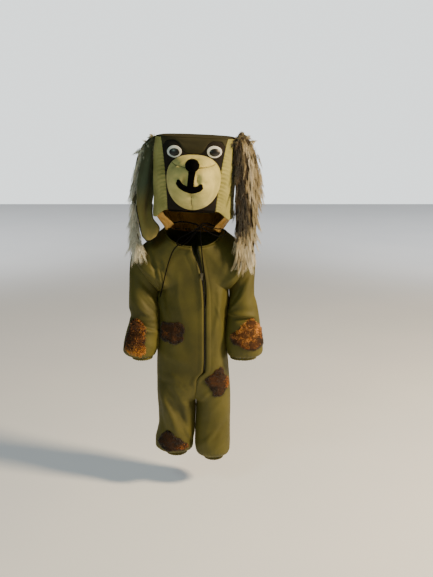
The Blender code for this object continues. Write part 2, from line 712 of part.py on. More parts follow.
def patch(name, surface, normal, centre, scale, lobes):
    """Plush patch on a surface: a fan of rings with a lobed edge, made from the surface's points."""
    around, rings = 22, (0.25, 0.5, 0.75, 1.0)
    places = [(centre[0], centre[1])]
    for ring in rings:
        for k in range(around):
            turn = 360 * k / around
            reach = ring * lobed_outline(lobes, turn)
            cos_turn, sin_turn = polar_turn(turn)
            places.append((centre[0] + scale[0] * reach * cos_turn, centre[1] + scale[1] * reach * sin_turn))
    faces = [(0, 1 + k, 1 + (k + 1) % around) for k in range(around)]
    for ring in range(len(rings) - 1):
        start = 1 + ring * around
        for k in range(around):
            m = (k + 1) % around
            faces.append((start + k, start + around + k, start + around + m, start + m))
    outer, inner = [], []
    for u, v in places:
        point, way = surface(u, v), normal(u, v)
        inner.append(point + way * PATCH_LIFT)
        outer.append(point + way * (PATCH_LIFT + CLOTH * 1.6))
    return solid_between(name, outer, inner, faces, PLUSH, 0.95)


# Hood

def hood_place(point):
    """From the hood's own frame to the world: turned and tipped a little about its middle."""
    pivot = Vector(HOOD_PLACE)
    middle = Vector((0.0, 0.0, HOOD_PLACE[2]))
    turned = Matrix.Rotation(HOOD_ROLL, 4, "Y") @ Matrix.Rotation(HOOD_YAW, 4, "Z") @ (point - middle)
    return pivot + turned


def hood_local(turn, z):
    """Point of the hood's outer wall in its own frame; turn 0 is the right side, 90 the front."""
    cos_turn, sin_turn = polar_turn(turn)
    depth = HOOD.at("front" if sin_turn >= 0 else "back", z)
    x = HOOD.at("half", z) * power(cos_turn, 2 / HOOD_POWER)
    return Vector((x, -depth * power(sin_turn, 2 / HOOD_POWER), z))


def turn_at(x, z):
    """Turn of the hood's front wall at a distance from its middle."""
    share = min(1.0, abs(x) / HOOD.at("half", z))
    turn = math.degrees(math.acos(share ** (HOOD_POWER / 2)))
    return turn if x >= 0 else 180 - turn


def hood_front(x, z):
    """Point of the hood's front wall over (x, z)."""
    return hood_local(turn_at(x, z), z)


def hood_normal(x, z):
    e = 0.002
    across = hood_front(x + e, z) - hood_front(x - e, z)
    up = hood_front(x, z + e) - hood_front(x, z - e)
    return -up.cross(across).normalized() if up.cross(across).y > 0 else up.cross(across).normalized()


def hood_wall(name, columns, rows, place, colour, thickness=FOAM):
    """Piece of the hood's wall: place(u, v) gives the turn and the height."""
    def surface(u, v):
        turn, z = place(u, v)
        return hood_local(turn, z)
    outer, inner = [], []
    for j in range(rows + 1):
        for i in range(columns + 1):
            u, v = i / columns, j / rows
            point = surface(u, v)
            normal = normal_of(surface, u, v, Vector((point.x, point.y, 0.0)))
            normal = in_plane(normal, Vector((0, 0, 1)))
            outer.append(hood_place(point))
            inner.append(hood_place(point - normal * thickness))
    return solid_between(name, outer, inner, grid_faces(columns, rows), colour)


def seam_turn(z, gap):
    """Turn of the mask's right edge at a height, moved by half a seam along the wall."""
    x = MASK.at("half", z) + gap
    return turn_at(x, z)


def forehead_edge(turn):
    """Height of the forehead's lower edge at a turn of the front wall."""
    x = abs(hood_local(turn, 1.07).x)
    return FOREHEAD.at("z", x)


def hood_pieces():
    def forehead(u, v):
        wide = seam_turn(1.085, -HALF_SEAM)
        turn = wide + (180 - 2 * wide) * u
        low = forehead_edge(turn) + HALF_SEAM
        z = low + (HOOD_TOP - low) * v
        edge = seam_turn(z, -HALF_SEAM)
        return edge + (180 - 2 * edge) * u, z

    def mask(u, v):
        wide = seam_turn(1.085, -HALF_SEAM)
        top = forehead_edge(wide + (180 - 2 * wide) * u) - HALF_SEAM
        z = MASK_BOTTOM + (top - MASK_BOTTOM) * v
        edge = seam_turn(z, -HALF_SEAM)
        return edge + (180 - 2 * edge) * u, z

    corner = forehead_edge(seam_turn(1.085, -HALF_SEAM))

    def cheek_height(u, v):
        level = v * (MASK_ROWS + FOREHEAD_ROWS)
        below = (corner - MASK_BOTTOM) / (HOOD_TOP - MASK_BOTTOM) * min(1.0, level / MASK_ROWS)
        above = (HOOD_TOP - corner) / (HOOD_TOP - MASK_BOTTOM) * max(0.0, level - MASK_ROWS) / FOREHEAD_ROWS
        low = BRIM + (MASK_BOTTOM - BRIM) * (1 - wave(u, 0.0, 0.42))
        return low + (HOOD_TOP - low) * (below + above)

    def right_cheek(u, v):
        z = cheek_height(u, v)
        start = seam_turn(z, HALF_SEAM)
        return start + (CHEEK_TURN + 0.2 - start) * u, z

    def left_cheek(u, v):
        turn, z = right_cheek(u, v)
        return 180 - turn, z

    def back(u, v):
        return CHEEK_TURN - 0.2 + (-180 - 2 * (CHEEK_TURN - 0.2)) * u, BRIM + (HOOD_TOP - BRIM) * v

    hood_wall("hood_forehead", 16, FOREHEAD_ROWS, forehead, DARK_OLIVE)
    hood_wall("hood_mask", 16, MASK_ROWS, mask, BROWN)
    hood_wall("hood_cheek_left", 8, MASK_ROWS + FOREHEAD_ROWS, left_cheek, SAGE)
    hood_wall("hood_cheek_right", 8, MASK_ROWS + FOREHEAD_ROWS, right_cheek, SAGE)
    hood_wall("hood_back", 12, 6, back, DARK_OLIVE)


def hood_top():
    """Nearly flat top that rests on the upright walls."""
    around, rings = 28, (0.6, 1.0)
    base = HOOD_TOP + 0.0003
    places = [(0.0, 0.0, 0.0)]
    for ring in rings:
        for k in range(around):
            edge = hood_local(360 * k / around, HOOD_TOP)
            places.append((edge.x * ring, edge.y * ring, ring))
    faces = [(0, 1 + k, 1 + (k + 1) % around) for k in range(around)]
    for ring in range(len(rings) - 1):
        start = 1 + ring * around
        for k in range(around):
            m = (k + 1) % around
            faces.append((start + k, start + around + k, start + around + m, start + m))
    outer, inner = [], []
    for x, y, ring in places:
        rise = TOP_DOME * (1 - ring**3)
        outer.append(hood_place(Vector((x, y, base + rise + FOAM * (1 if ring < 1 else 0.7)))))
        inner.append(hood_place(Vector((x, y, base + rise))))
    solid_between("hood_top", outer, inner, faces, DARK_OLIVE)


def mask_binding():
    """Dark binding just under the mask's lower edge."""
    centres = []
    for k in range(15):
        x = -0.066 + 0.132 * k / 14
        point = hood_front(x, MASK_BOTTOM)
        bow = -0.0008 * (1 - (x / 0.066) ** 2)
        centres.append(hood_place(Vector((point.x, point.y + FOAM / 2, MASK_BOTTOM - 0.0021 + bow))))
    tube_through("mask_binding", centres, 0.0019, 6, BLACK)


def muzzle_edge(turn):
    """Outline of the muzzle seen from the front, from the nose's middle, in the hood's frame."""
    cos_turn, sin_turn = polar_turn(turn)
    low, high = 0.0, 0.3
    for step in range(40):
        reach = (low + high) / 2
        x = NOSE_X + reach * cos_turn
        z = NOSE_Z + reach * sin_turn
        if muzzle_share(x, z) < 1:
            low = reach
        else:
            high = reach
    return low


def muzzle_share(x, z):
    """0 at the muzzle's middle, 1 on its outline."""
    rise = z - MUZZLE_Z
    tall = MUZZLE_UP if rise >= 0 else MUZZLE_DOWN
    sharp = 2.4 if rise >= 0 else 2.05
    return (abs((x - MUZZLE_X) / MUZZLE_HALF) ** sharp + abs(rise / tall) ** sharp) ** (1 / sharp)


def muzzle_front(x, z):
    """Point of the padded muzzle's outside over (x, z)."""
    share = min(1.0, muzzle_share(x, z))
    height = MUZZLE_DEPTH * (1 - share**2.8) ** 0.52
    base = hood_front(x, z)
    return Vector((x, base.y - 0.0006 - height, z))


def muzzle_normal(x, z):
    e = 0.002
    across = muzzle_front(x + e, z) - muzzle_front(x - e, z)
    up = muzzle_front(x, z + e) - muzzle_front(x, z - e)
    normal = across.cross(up).normalized()
    return normal if normal.y < 0 else -normal


def muzzle_panel(name, first, last, colour):
    """Padded panel of the muzzle between two seams that run out from the nose."""
    columns, rows = MUZZLE_COLUMNS, 7
    outer, inner = [], []
    for j in range(rows + 1):
        share = math.sin(math.pi / 2 * (0.08 + 0.92 * j / rows))
        for i in range(columns + 1):
            turn = first + (last - first) * i / columns
            cos_turn, sin_turn = polar_turn(turn)
            reach = muzzle_edge(turn) * share
            seam = Vector((-sin_turn, 0.0, cos_turn))
            shift = seam * HALF_SEAM * (1 if i == 0 else -1 if i == columns else 0)
            x, z = NOSE_X + reach * cos_turn, NOSE_Z + reach * sin_turn
            point = muzzle_front(x, z)
            if j == rows:
                way = Vector((MUZZLE_X - x, 0.0, (MUZZLE_Z - z))).normalized()
                if i in (0, columns):
                    way = in_plane(way, seam)
                deep = point + way * MUZZLE_WALL
                deep.y = hood_front(deep.x, deep.z).y - 0.0006
            else:
                way = muzzle_normal(x, z)
                if i in (0, columns):
                    way = in_plane(way, seam)
                deep = point - way * MUZZLE_WALL
                deep.y = min(deep.y, hood_front(deep.x, deep.z).y - 0.0006)
            outer.append(hood_place(point + shift))
            inner.append(hood_place(deep + shift))
    solid_between(name, outer, inner, grid_faces(columns, rows), colour)


def nose():
    """Round nose on the muzzle, its foot made from the muzzle's points."""
    around = 18
    way = muzzle_normal(NOSE_X, NOSE_Z)
    across = Vector((1.0, 0.0, 0.0))
    up = across.cross(way).normalized()
    if up.z < 0:
        up = -up
    levels = ((0.80, None), (1.00, 0.30), (1.00, 0.55), (0.82, 0.84), (0.45, 1.02))
    foot = muzzle_front(NOSE_X, NOSE_Z)
    data = bmesh.new()
    loops = []
    for wide, rise in levels:
        loop = []
        for k in range(around):
            cos_turn, sin_turn = polar_turn(360 * k / around)
            flat = across * cos_turn * NOSE_RADIUS * wide + up * sin_turn * NOSE_RADIUS * wide
            if rise is None:
                spot = foot + flat
                spot = muzzle_front(spot.x, spot.z) + way * 0.0008
            else:
                spot = foot + flat + way * (0.0008 + NOSE_DEPTH * rise)
            loop.append(data.verts.new(hood_place(spot)))
        loops.append(loop)
    for near, far in zip(loops, loops[1:]):
        for k in range(around):
            m = (k + 1) % around
            data.faces.new((near[k], near[m], far[m], far[k]))
    back = data.verts.new(hood_place(foot + way * 0.0008))
    tip = data.verts.new(hood_place(foot + way * (0.0008 + NOSE_DEPTH * 1.07)))
    for k in range(around):
        m = (k + 1) % around
        data.faces.new((back, loops[0][m], loops[0][k]))
        data.faces.new((tip, loops[-1][k], loops[-1][m]))
    finish_object("nose", data, BLACK, 0.7)


def mouth():
    """Felt mouth: a strip down from the nose into a smile, on the muzzle's surface."""
    columns = 16
    places, faces = [], []
    for i in range(columns + 1):
        x = SMILE.rows[0][0] + (SMILE.rows[-1][0] - SMILE.rows[0][0]) * i / columns
        z = SMILE.at("z", x)
        slope = (SMILE.at("z", x + 0.001) - SMILE.at("z", x - 0.001)) / 0.002
        across = Vector((-slope, 1.0)).normalized()
        end = min(i, columns - i)
        half = SMILE_HALF * (0.55, 0.92, 1.0)[min(end, 2)]
        for share in (-1, 0, 1):
            places.append((x + across.x * half * share, z + across.y * half * share))
    for i in range(columns):
        for j in range(2):
            faces.append((3 * i + j, 3 * i + 3 + j, 3 * i + 4 + j, 3 * i + 1 + j))
    first = next(i for i in range(columns) if places[3 * i + 2][0] > NOSE_X - 0.0035 - STRIP_HALF)
    last = first + 6
    previous = [3 * i + 2 for i in range(first, last + 1)]
    top_z = NOSE_Z - NOSE_RADIUS - 0.0012
    start_z = [places[k][1] for k in previous]
    for row in range(1, 6):
        current = []
        for k, low in zip(range(7), start_z):
            s = row / 5
            spread = -STRIP_HALF + 2 * STRIP_HALF * k / 6
            x = (places[previous[k]][0] * (1 - s)) + (NOSE_X + spread) * s
            z = low + (top_z - low) * s
            current.append(len(places))
            places.append((x, z))
        for k in range(6):
            faces.append((previous[k], previous[k + 1], current[k + 1], current[k]))
        previous = current
    outer, inner = [], []
    for x, z in places:
        point, way = muzzle_front(x, z), muzzle_normal(x, z)
        inner.append(hood_place(point + way * LIFT))
        outer.append(hood_place(point + way * (LIFT + FELT)))
    solid_between("mouth", outer, inner, faces, BLACK)


def disc(name, x0, z0, half, lift, dome, colour, roughness):
    """Eye disc on the mask, with a slight dome."""
    around, rings = 18, (0.55, 1.0)
    places = [(x0, z0, 0.0)]
    for ring in rings:
        for k in range(around):
            cos_turn, sin_turn = polar_turn(360 * k / around)
            places.append((x0 + half[0] * ring * cos_turn, z0 + half[1] * ring * sin_turn, ring))
    faces = [(0, 1 + k, 1 + (k + 1) % around) for k in range(around)]
    for k in range(around):
        m = (k + 1) % around
        faces.append((1 + k, 1 + around + k, 1 + around + m, 1 + m))
    outer, inner = [], []
    for x, z, ring in places:
        point, way = hood_front(x, z), hood_normal(x, z)
        inner.append(hood_place(point + way * lift))
        outer.append(hood_place(point + way * (lift + FELT * 0.7 + dome * (1 - ring**2))))
    solid_between(name, outer, inner, faces, colour, roughness)


def eyes():
    for name, side in (("left", -1), ("right", 1)):
        x = EYE_MIDDLE + side * EYE_SPREAD
        z = EYE_Z[side]
        disc("eye_white_" + name, x, z, EYE_HALF, LIFT, 0.0, WHITE, 0.35)
        disc("pupil_" + name, x + 0.0010, z - 0.0012, PUPIL_HALF, LIFT + FELT * 0.7 + 0.0004, 0.0015,
             BLACK, 0.3)


def funnel_point(turn, share):
    """Gathered neck section: share 0 inside the hood's lower edge, 1 at the drawstring."""
    cos_turn, sin_turn = polar_turn(turn)
    front = max(0.0, sin_turn)
    top_z = 0.878 + 0.012 * front**3
    rear = max(0.0, -sin_turn)
    low_z = 0.829 + 0.026 * front**2 - 0.013 * rear**2
    top = hood_local(turn, top_z)
    scale = 1 - 0.0042 / math.hypot(top.x, top.y)
    half_x, half_y = 0.0820, (0.0880 if sin_turn >= 0 else 0.0600)
    low = Vector((half_x * power(cos_turn, 0.9), -half_y * power(sin_turn, 0.9), low_z))
    drop = wave(share, -0.2, 1.1)
    drop = (drop - wave(0, -0.2, 1.1)) / (wave(1, -0.2, 1.1) - wave(0, -0.2, 1.1))
    point = Vector((top.x * scale, top.y * scale, top_z)).lerp(low, drop)
    point.z = top_z + (low_z - top_z) * share
    pleat = 0.0026 * share * math.cos(math.radians(turn) * FUNNEL_PLEATS)
    away = Vector((point.x, point.y, 0.0)).normalized()
    return point + away * pleat


def neck_section():
    columns, rows = 44, 3
    first, last = FUNNEL_OPEN[1], 360 + FUNNEL_OPEN[0]
    outer, inner = [], []

    def surface(u, v):
        return funnel_point(first + (last - first) * u, v)
    for j in range(rows + 1):
        for i in range(columns + 1):
            u, v = i / columns, j / rows
            point = surface(u, v)
            normal = normal_of(surface, u, v, Vector((point.x, point.y, 0.02)))
            if j == 0:
                normal = Vector((point.x, point.y, 0.0)).normalized()
            outer.append(hood_place(point))
            inner.append(hood_place(point - normal * CLOTH))
    solid_between("neck_section", outer, inner, grid_faces(columns, rows), TAN)


# Ears: a row for each height, the edge away from the head, the edge by the head
EAR_COLUMNS = ("z", "out_x", "out_y", "in_x", "in_y")
LEFT_LINING = Table(EAR_COLUMNS, (
    (0.800, -0.1400, -0.076, -0.1240, -0.076),
    (0.812, -0.1500, -0.073, -0.1080, -0.074),
    (0.835, -0.1560, -0.067, -0.1000, -0.067),
    (0.862, -0.1620, -0.058, -0.1220, -0.040),
    (0.895, -0.1670, -0.048, -0.1280, 0.000),
    (0.956, -0.1665, -0.035, -0.1210, 0.020),
    (1.030, -0.1545, -0.022, -0.1190, 0.025),
    (1.080, -0.1345, -0.018, -0.1130, 0.022),
    (1.100, -0.1200, -0.016, -0.1076, 0.020)))
RIGHT_LINING = Table(EAR_COLUMNS, (
    (0.835, 0.1700, -0.012, 0.1450, -0.030),
    (0.862, 0.1760, -0.004, 0.1310, -0.030),
    (0.895, 0.1870, 0.006, 0.1340, -0.030),
    (0.956, 0.1952, 0.016, 0.1350, -0.027),
    (1.030, 0.1825, 0.022, 0.1370, -0.024),
    (1.080, 0.1630, 0.022, 0.1370, -0.020),
    (1.100, 0.1530, 0.020, 0.1365, -0.018)))
LEFT_FUR = Table(EAR_COLUMNS + ("pile",), (
    (0.722, -0.1700, -0.072, -0.1560, -0.072, 0.005),
    (0.760, -0.1790, -0.070, -0.1480, -0.070, 0.006),
    (0.800, -0.1800, -0.060, -0.1600, -0.060, 0.008),
    (0.850, -0.1820, -0.048, -0.1690, -0.042, 0.008),
    (0.895, -0.1800, -0.041, -0.1420, 0.014, 0.011),
    (0.956, -0.1795, -0.024, -0.1320, 0.036, 0.013),
    (1.030, -0.1685, -0.010, -0.1290, 0.041, 0.013),
    (1.080, -0.1465, -0.014, -0.1200, 0.0245, 0.011),
    (1.106, -0.1310, -0.020, -0.1150, 0.0190, 0.008)))
RIGHT_FUR = Table(EAR_COLUMNS + ("pile",), (
    (0.690, 0.1600, -0.072, 0.1420, -0.076, 0.005),
    (0.735, 0.1720, -0.066, 0.1300, -0.078, 0.008),
    (0.785, 0.1810, -0.048, 0.1270, -0.080, 0.011),
    (0.850, 0.1880, -0.018, 0.1260, -0.080, 0.014),
    (0.895, 0.1920, -0.003, 0.1240, -0.086, 0.016),
    (0.956, 0.1960, 0.007, 0.1240, -0.089, 0.017),
    (1.030, 0.1890, 0.014, 0.1193, -0.090, 0.017),
    (1.080, 0.1720, 0.016, 0.1200, -0.088, 0.015),
    (1.116, 0.1560, 0.012, 0.1200, -0.084, 0.010)))


def ear_point(table, u, z, bend):
    """Point of an ear; u 0 is its edge by the head, 1 the edge away from it."""
    inner = Vector((table.at("in_x", z), table.at("in_y", z), z))
    outer = Vector((table.at("out_x", z), table.at("out_y", z), z))
    point = inner.lerp(outer, u)
    across = outer - inner
    away = Vector((-across.y, across.x, 0.0)).normalized()
    return point + away * bend * math.sin(math.pi * u) * across.length


def ear_lining(name, table, bend, colour):
    columns, rows = 7, 14
    low, high = table.rows[0][0], table.rows[-1][0]
    outer, inner = [], []
    for j in range(rows + 1):
        for i in range(columns + 1):
            u, z = i / columns, low + (high - low) * j / rows
            point = ear_point(table, u, z, bend)
            normal = normal_of(lambda a, b: ear_point(table, a, b, bend), u, z, Vector((0.0, -1.0, 0.0)))
            outer.append(point)
            inner.append(point - normal * CLOTH)
    solid_between(name, outer, inner, grid_faces(columns, rows), colour)


def ear_fur(name, table, bend, columns, tip_spread):
    """Fur side of an ear: a thick pile in locks that end in points at the bottom."""
    rows = 16
    low, high = table.rows[0][0], table.rows[-1][0]
    outer, inner = [], []
    for j in range(rows + 1):
        for i in range(columns + 1):
            u, share = i / columns, j / rows
            valley = i % 2 == 1
            tip = (0.35 + 0.65 * abs(math.sin(2.7 * i + 0.6))) * tip_spread if valley else 0.0
            reach = 0.016 * math.sin(3.1 * i)
            z = low + reach * 0.5 + tip + (high - low - reach * 0.5 - tip) * share
            z = min(high, z)
            pile = table.at("pile", z)
            lump = 1 + 0.22 * math.sin(5.3 * i + 11 * share) * math.sin(math.pi * share)
            ridge = (0.72 if valley else 1.0) * lump
            point = ear_point(table, u, z, bend)
            normal = normal_of(lambda a, b: ear_point(table, a, b, bend), u, z, Vector((0.0, -1.0, 0.0)))
            thin = 0.35 + 0.65 * wave(share, 0.0, 0.25)
            outer.append(point + normal * pile * ridge * 0.5 * thin)
            inner.append(point - normal * pile * ridge * 0.5 * thin)
    solid_between(name, outer, inner, grid_faces(columns, rows), FUR, 0.95)


# Drawstring, above the floor. Each run leaves the knot along its own direction and goes through its
# hand-placed points; a loop comes back to the knot along the second direction.
KNOT = Vector((0.0200, -0.1040, 0.8450))
KNOT_RADII = (0.0082, 0.0056, 0.0072)
KNOT_GAP = 0.0003
CORD_RUNS = {
    "cord_loop_left": ((-0.80, -0.50, -0.33), (
        (-0.0080, -0.1110, 0.8300), (-0.0280, -0.1070, 0.8180), (-0.0440, -0.1030, 0.8070),
        (-0.0480, -0.0990, 0.7960), (-0.0410, -0.0970, 0.7890), (-0.0260, -0.0990, 0.7930),
        (-0.0100, -0.1020, 0.8070), (0.0030, -0.1040, 0.8230)), (-0.45, -0.15, -0.88)),
    "cord_loop_right": ((0.80, -0.45, -0.40), (
        (0.0410, -0.1080, 0.8320), (0.0560, -0.1020, 0.8230), (0.0710, -0.0930, 0.8160),
        (0.0850, -0.0830, 0.8150), (0.0940, -0.0760, 0.8200), (0.0950, -0.0740, 0.8290),
        (0.0860, -0.0790, 0.8340), (0.0700, -0.0890, 0.8370), (0.0520, -0.0960, 0.8420)),
        (0.93, 0.25, 0.25)),
    "cord_end_left": ((-0.55, 0.60, -0.58), (
        (-0.0060, -0.0900, 0.8180), (-0.0250, -0.0870, 0.8020), (-0.0450, -0.0850, 0.7880),
        (-0.0600, -0.0810, 0.7700), (-0.0720, -0.0790, 0.7400), (-0.0800, -0.0790, 0.7120),
        (-0.0870, -0.0760, 0.6850), (-0.0930, -0.0690, 0.6600), (-0.0990, -0.0520, 0.6370),
        (-0.1020, -0.0460, 0.6240)), None),
    "cord_end_right": ((0.05, 0.15, -0.99), (
        (0.0205, -0.1000, 0.8200), (0.0220, -0.0940, 0.8000), (0.0235, -0.0870, 0.7850),
        (0.0250, -0.0820, 0.7650), (0.0280, -0.0840, 0.7350), (0.0320, -0.0860, 0.7000),
        (0.0365, -0.0870, 0.6650), (0.0370, -0.0870, 0.6300), (0.0350, -0.0870, 0.6040)), None),
    "cord_casing_left": ((-0.80, 0.35, 0.49), (
        (-0.0120, -0.0950, 0.8560), (-0.0330, -0.0870, 0.8575), (-0.0480, -0.0780, 0.8545),
        (-0.0583, -0.0722, 0.8519)), None),
    "cord_casing_right": ((0.50, 0.65, 0.57), (
        (0.0370, -0.0880, 0.8530), (0.0480, -0.0760, 0.8490), (0.0550, -0.0660, 0.8440),
        (0.0612, -0.0596, 0.8406)), None)}
CORD_SPACING = 0.0100


def smooth_run(points, spacing):
    """Points on a smooth curve through hand-placed ones, about one each spacing."""
    marks = [points[0] * 2 - points[1]] + points + [points[-1] * 2 - points[-2]]
    run = []
    for a, b, c, d in zip(marks, marks[1:], marks[2:], marks[3:]):
        count = max(1, round((c - b).length / spacing))
        for k in range(count):
            s = k / count
            run.append(0.5 * (2 * b + (c - a) * s + (2 * a - 5 * b + 4 * c - d) * s**2
                              + (3 * b - 3 * c + d - a) * s**3))
    run.append(marks[-2])
    return run


def knot_point(direction, distance):
    """Point off the knot's surface, at a distance along a direction from its middle."""
    way = Vector(direction).normalized()
    radius = 1 / math.sqrt(sum((part / size) ** 2 for part, size in zip(way, KNOT_RADII)))
    return KNOT + way * (radius + distance)


def cord_points(start, points, end):
    """Hand-placed points with the ends that meet the knot."""
    run = [knot_point(start, KNOT_GAP), knot_point(start, 0.005)] + [Vector(p) for p in points]
    if end:
        run += [knot_point(end, 0.005), knot_point(end, KNOT_GAP)]
    return run


def cord(name, points):
    curve = bpy.data.curves.new(name, "CURVE")
    curve.dimensions = "3D"
    curve.bevel_depth = CORD_DIAMETER / 2
    curve.bevel_resolution = 2
    curve.use_fill_caps = True
    run = smooth_run(points, CORD_SPACING)
    spline = curve.splines.new("POLY")
    spline.points.add(len(run) - 1)
    for spot, point in zip(spline.points, run):
        spot.co = (point.x, point.y, point.z - NECK_HEIGHT, 1.0)
    curve.materials.append(make_material("drawstring", BLACK, 0.6))
    item = bpy.data.objects.new(name, curve)
    bpy.context.scene.collection.objects.link(item)


def knot():
    data = bmesh.new()
    bmesh.ops.create_icosphere(data, subdivisions=2, radius=1.0)
    bmesh.ops.scale(data, vec=KNOT_RADII, verts=data.verts)
    bmesh.ops.translate(data, vec=KNOT, verts=data.verts)
    finish_object("cord_knot", data, BLACK, 0.6)


def suit():
    for name, side in (("left", -1), ("right", 1)):
        suit_panel("suit_front_" + name, side, -1)
        suit_panel("suit_back_" + name, side, 1)
        sleeve("sleeve_" + name, side)
        table = SLEEVES[side]
        last = table.rows[-1]
        middle = side * (last[1] + last[3]) / 2
        casing("cuff_casing_" + name, (middle, last[6]), (last[1] - last[3]) / 2, last[5], last[2] - 0.0004)
        hem = HALVES[side].rows[0]
        middle = side * (hem[1] + hem[2]) / 2
        casing("ankle_casing_" + name, (middle, 0.0), (hem[1] - hem[2]) / 2, hem[3] + HALF_SEAM,
               hem[0] - 0.0004)
        zip_tape("zip_tape_" + name, side)
    neck_binding()
    slider_and_tab()


def patches():
    def body(side):
        def smooth(u, v):
            return suit_point(side, -1, u, v, True)

        def normal(u, v):
            outward = smooth(u, v) - Vector((side * (0.055 if v < CROTCH_ROW else 0.0), 0.0, smooth(u, v).z))
            return normal_of(lambda a, b: smooth(a, b * 2), u, v / 2, outward)
        return smooth, normal

    def arm(side):
        def smooth(u, v):
            return sleeve_point(side, u, v, True)

        def normal(u, v):
            outward = smooth(u, v) - (smooth(0, v) + smooth(180, v)) / 2
            return normal_of(lambda a, b: smooth(a * 400, b * 2), u / 400, v / 2, outward)
        return smooth, normal

    for name, side, centre, scale, lobes in BODY_PATCHES:
        patch(name, *body(side), centre, scale, lobes)
    for name, side, centre, scale, lobes in ARM_PATCHES:
        patch(name, *arm(side), centre, scale, lobes)


def muzzle():
    right, left, down = SEAM_TURNS
    muzzle_panel("muzzle_top", right, left, SAGE)
    muzzle_panel("muzzle_left", left, down, SAGE)
    muzzle_panel("muzzle_right", down, 360 + right, SAGE)
    nose()
    mouth()


def main():
    clear_scene()
    suit()
    patches()
    hood_pieces()
    hood_top()
    mask_binding()
    muzzle()
    eyes()
    neck_section()
    ear_lining("ear_lining_left", LEFT_LINING, 0.10, DARK_OLIVE)
    ear_lining("ear_lining_right", RIGHT_LINING, 0.10, DARK_OLIVE)
    ear_fur("ear_fur_left", LEFT_FUR, 0.10, 8, 0.050)
    ear_fur("ear_fur_right", RIGHT_FUR, -0.03, 12, 0.060)
    for name, (start, points, end) in CORD_RUNS.items():
        cord(name, cord_points(start, points, end))
    knot()


main()
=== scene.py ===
"""Dog costume, dressed: cloth, velour, fur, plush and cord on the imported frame.

Heights in the tables are above the wearer's floor; finished meshes are lowered by NECK_HEIGHT, so that
the origin is the middle of the neck. The front faces -Y.
"""
import math

import bpy
import numpy as np
from mathutils import Matrix, Vector, noise


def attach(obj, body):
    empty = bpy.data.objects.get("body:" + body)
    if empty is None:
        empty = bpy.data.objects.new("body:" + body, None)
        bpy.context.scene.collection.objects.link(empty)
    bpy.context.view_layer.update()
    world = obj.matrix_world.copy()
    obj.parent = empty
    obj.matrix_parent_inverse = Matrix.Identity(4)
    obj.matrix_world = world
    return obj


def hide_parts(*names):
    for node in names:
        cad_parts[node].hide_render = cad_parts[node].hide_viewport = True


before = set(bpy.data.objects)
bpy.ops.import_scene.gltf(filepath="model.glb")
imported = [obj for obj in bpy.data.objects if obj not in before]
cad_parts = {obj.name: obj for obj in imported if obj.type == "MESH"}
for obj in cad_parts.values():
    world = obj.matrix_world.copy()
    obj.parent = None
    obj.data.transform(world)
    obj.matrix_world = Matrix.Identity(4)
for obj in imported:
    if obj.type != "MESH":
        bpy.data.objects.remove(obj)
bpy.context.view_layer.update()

bl_info = {
    "name": "Dog costume",
    "version": (1, 0, 0),
    "blender": (4, 5, 0),
    "location": "3D View > Sidebar > Costume",
    "description": "Dresses the frame of a dog costume in cloth, fur, plush and cord",
    "category": "Add Mesh",
}

BODY = "costume"
SIDES = (("left", -1), ("right", 1))
# Driving sizes, in metres
NECK_HEIGHT = 0.80
CLOTH = 0.0015
FOAM = 0.0030
FELT = 0.0015
HALF_SEAM = 0.0002
LIFT = 0.0006
PATCH_LIFT = 0.0016
SLEEVE_SEAM = 0.0004
CASING_HEIGHT = 0.0080
BINDING_RADIUS = 0.0018
CORD_DIAMETER = 0.0036
ZIP_TAPE_WIDTH = 0.0022

# Counts
PANEL_COLUMNS = 10
SLEEVE_COLUMNS = 16

# Row numbers of a suit panel, from the ankle hem (0) to the shoulder seam, and the rows it is built at
PANEL_ROWS = 24
CROTCH_ROW = 7
FRONT_ROW = 10
ARMPIT_ROW = 17
NECK_ROW = 19

class Table:
    """A short table with named columns, in millimetres but for the kept ones; it is read by the first."""

    def __init__(self, names, rows, kept=0, unit=1000):
        rows = [row[:kept] + tuple(value / unit for value in row[kept:]) for row in rows]
        self.rows = rows
        self.keys = [row[0] for row in rows]
        self.columns = {name: [row[k] for row in rows] for k, name in enumerate(names)}
        self.slopes = {name: self.column_slopes(values) for name, values in self.columns.items()}

    def column_slopes(self, values):
        """Slopes at the rows that keep the curve from overshooting."""
        slopes = [0.0] * len(values)
        for i in range(1, len(values) - 1):
            before = (values[i] - values[i - 1]) / ((self.keys[i] - self.keys[i - 1]) or 1.0)
            after = (values[i + 1] - values[i]) / ((self.keys[i + 1] - self.keys[i]) or 1.0)
            if before * after > 0:
                slopes[i] = 2 * before * after / (before + after)
        return slopes

    def at(self, name, key):
        """Value of a column at key, on a smooth curve through the rows."""
        keys, values, slopes = self.keys, self.columns[name], self.slopes[name]
        if key <= keys[0]:
            return values[0]
        if key >= keys[-1]:
            return values[-1]
        i = 0
        while keys[i + 1] < key:
            i += 1
        step = keys[i + 1] - keys[i]
        s = (key - keys[i]) / step
        a = values[i] * (2 * s**3 - 3 * s**2 + 1) + slopes[i] * step * (s**3 - 2 * s**2 + s)
        return a + values[i + 1] * (3 * s**2 - 2 * s**3) + slopes[i + 1] * step * (s**3 - s**2)


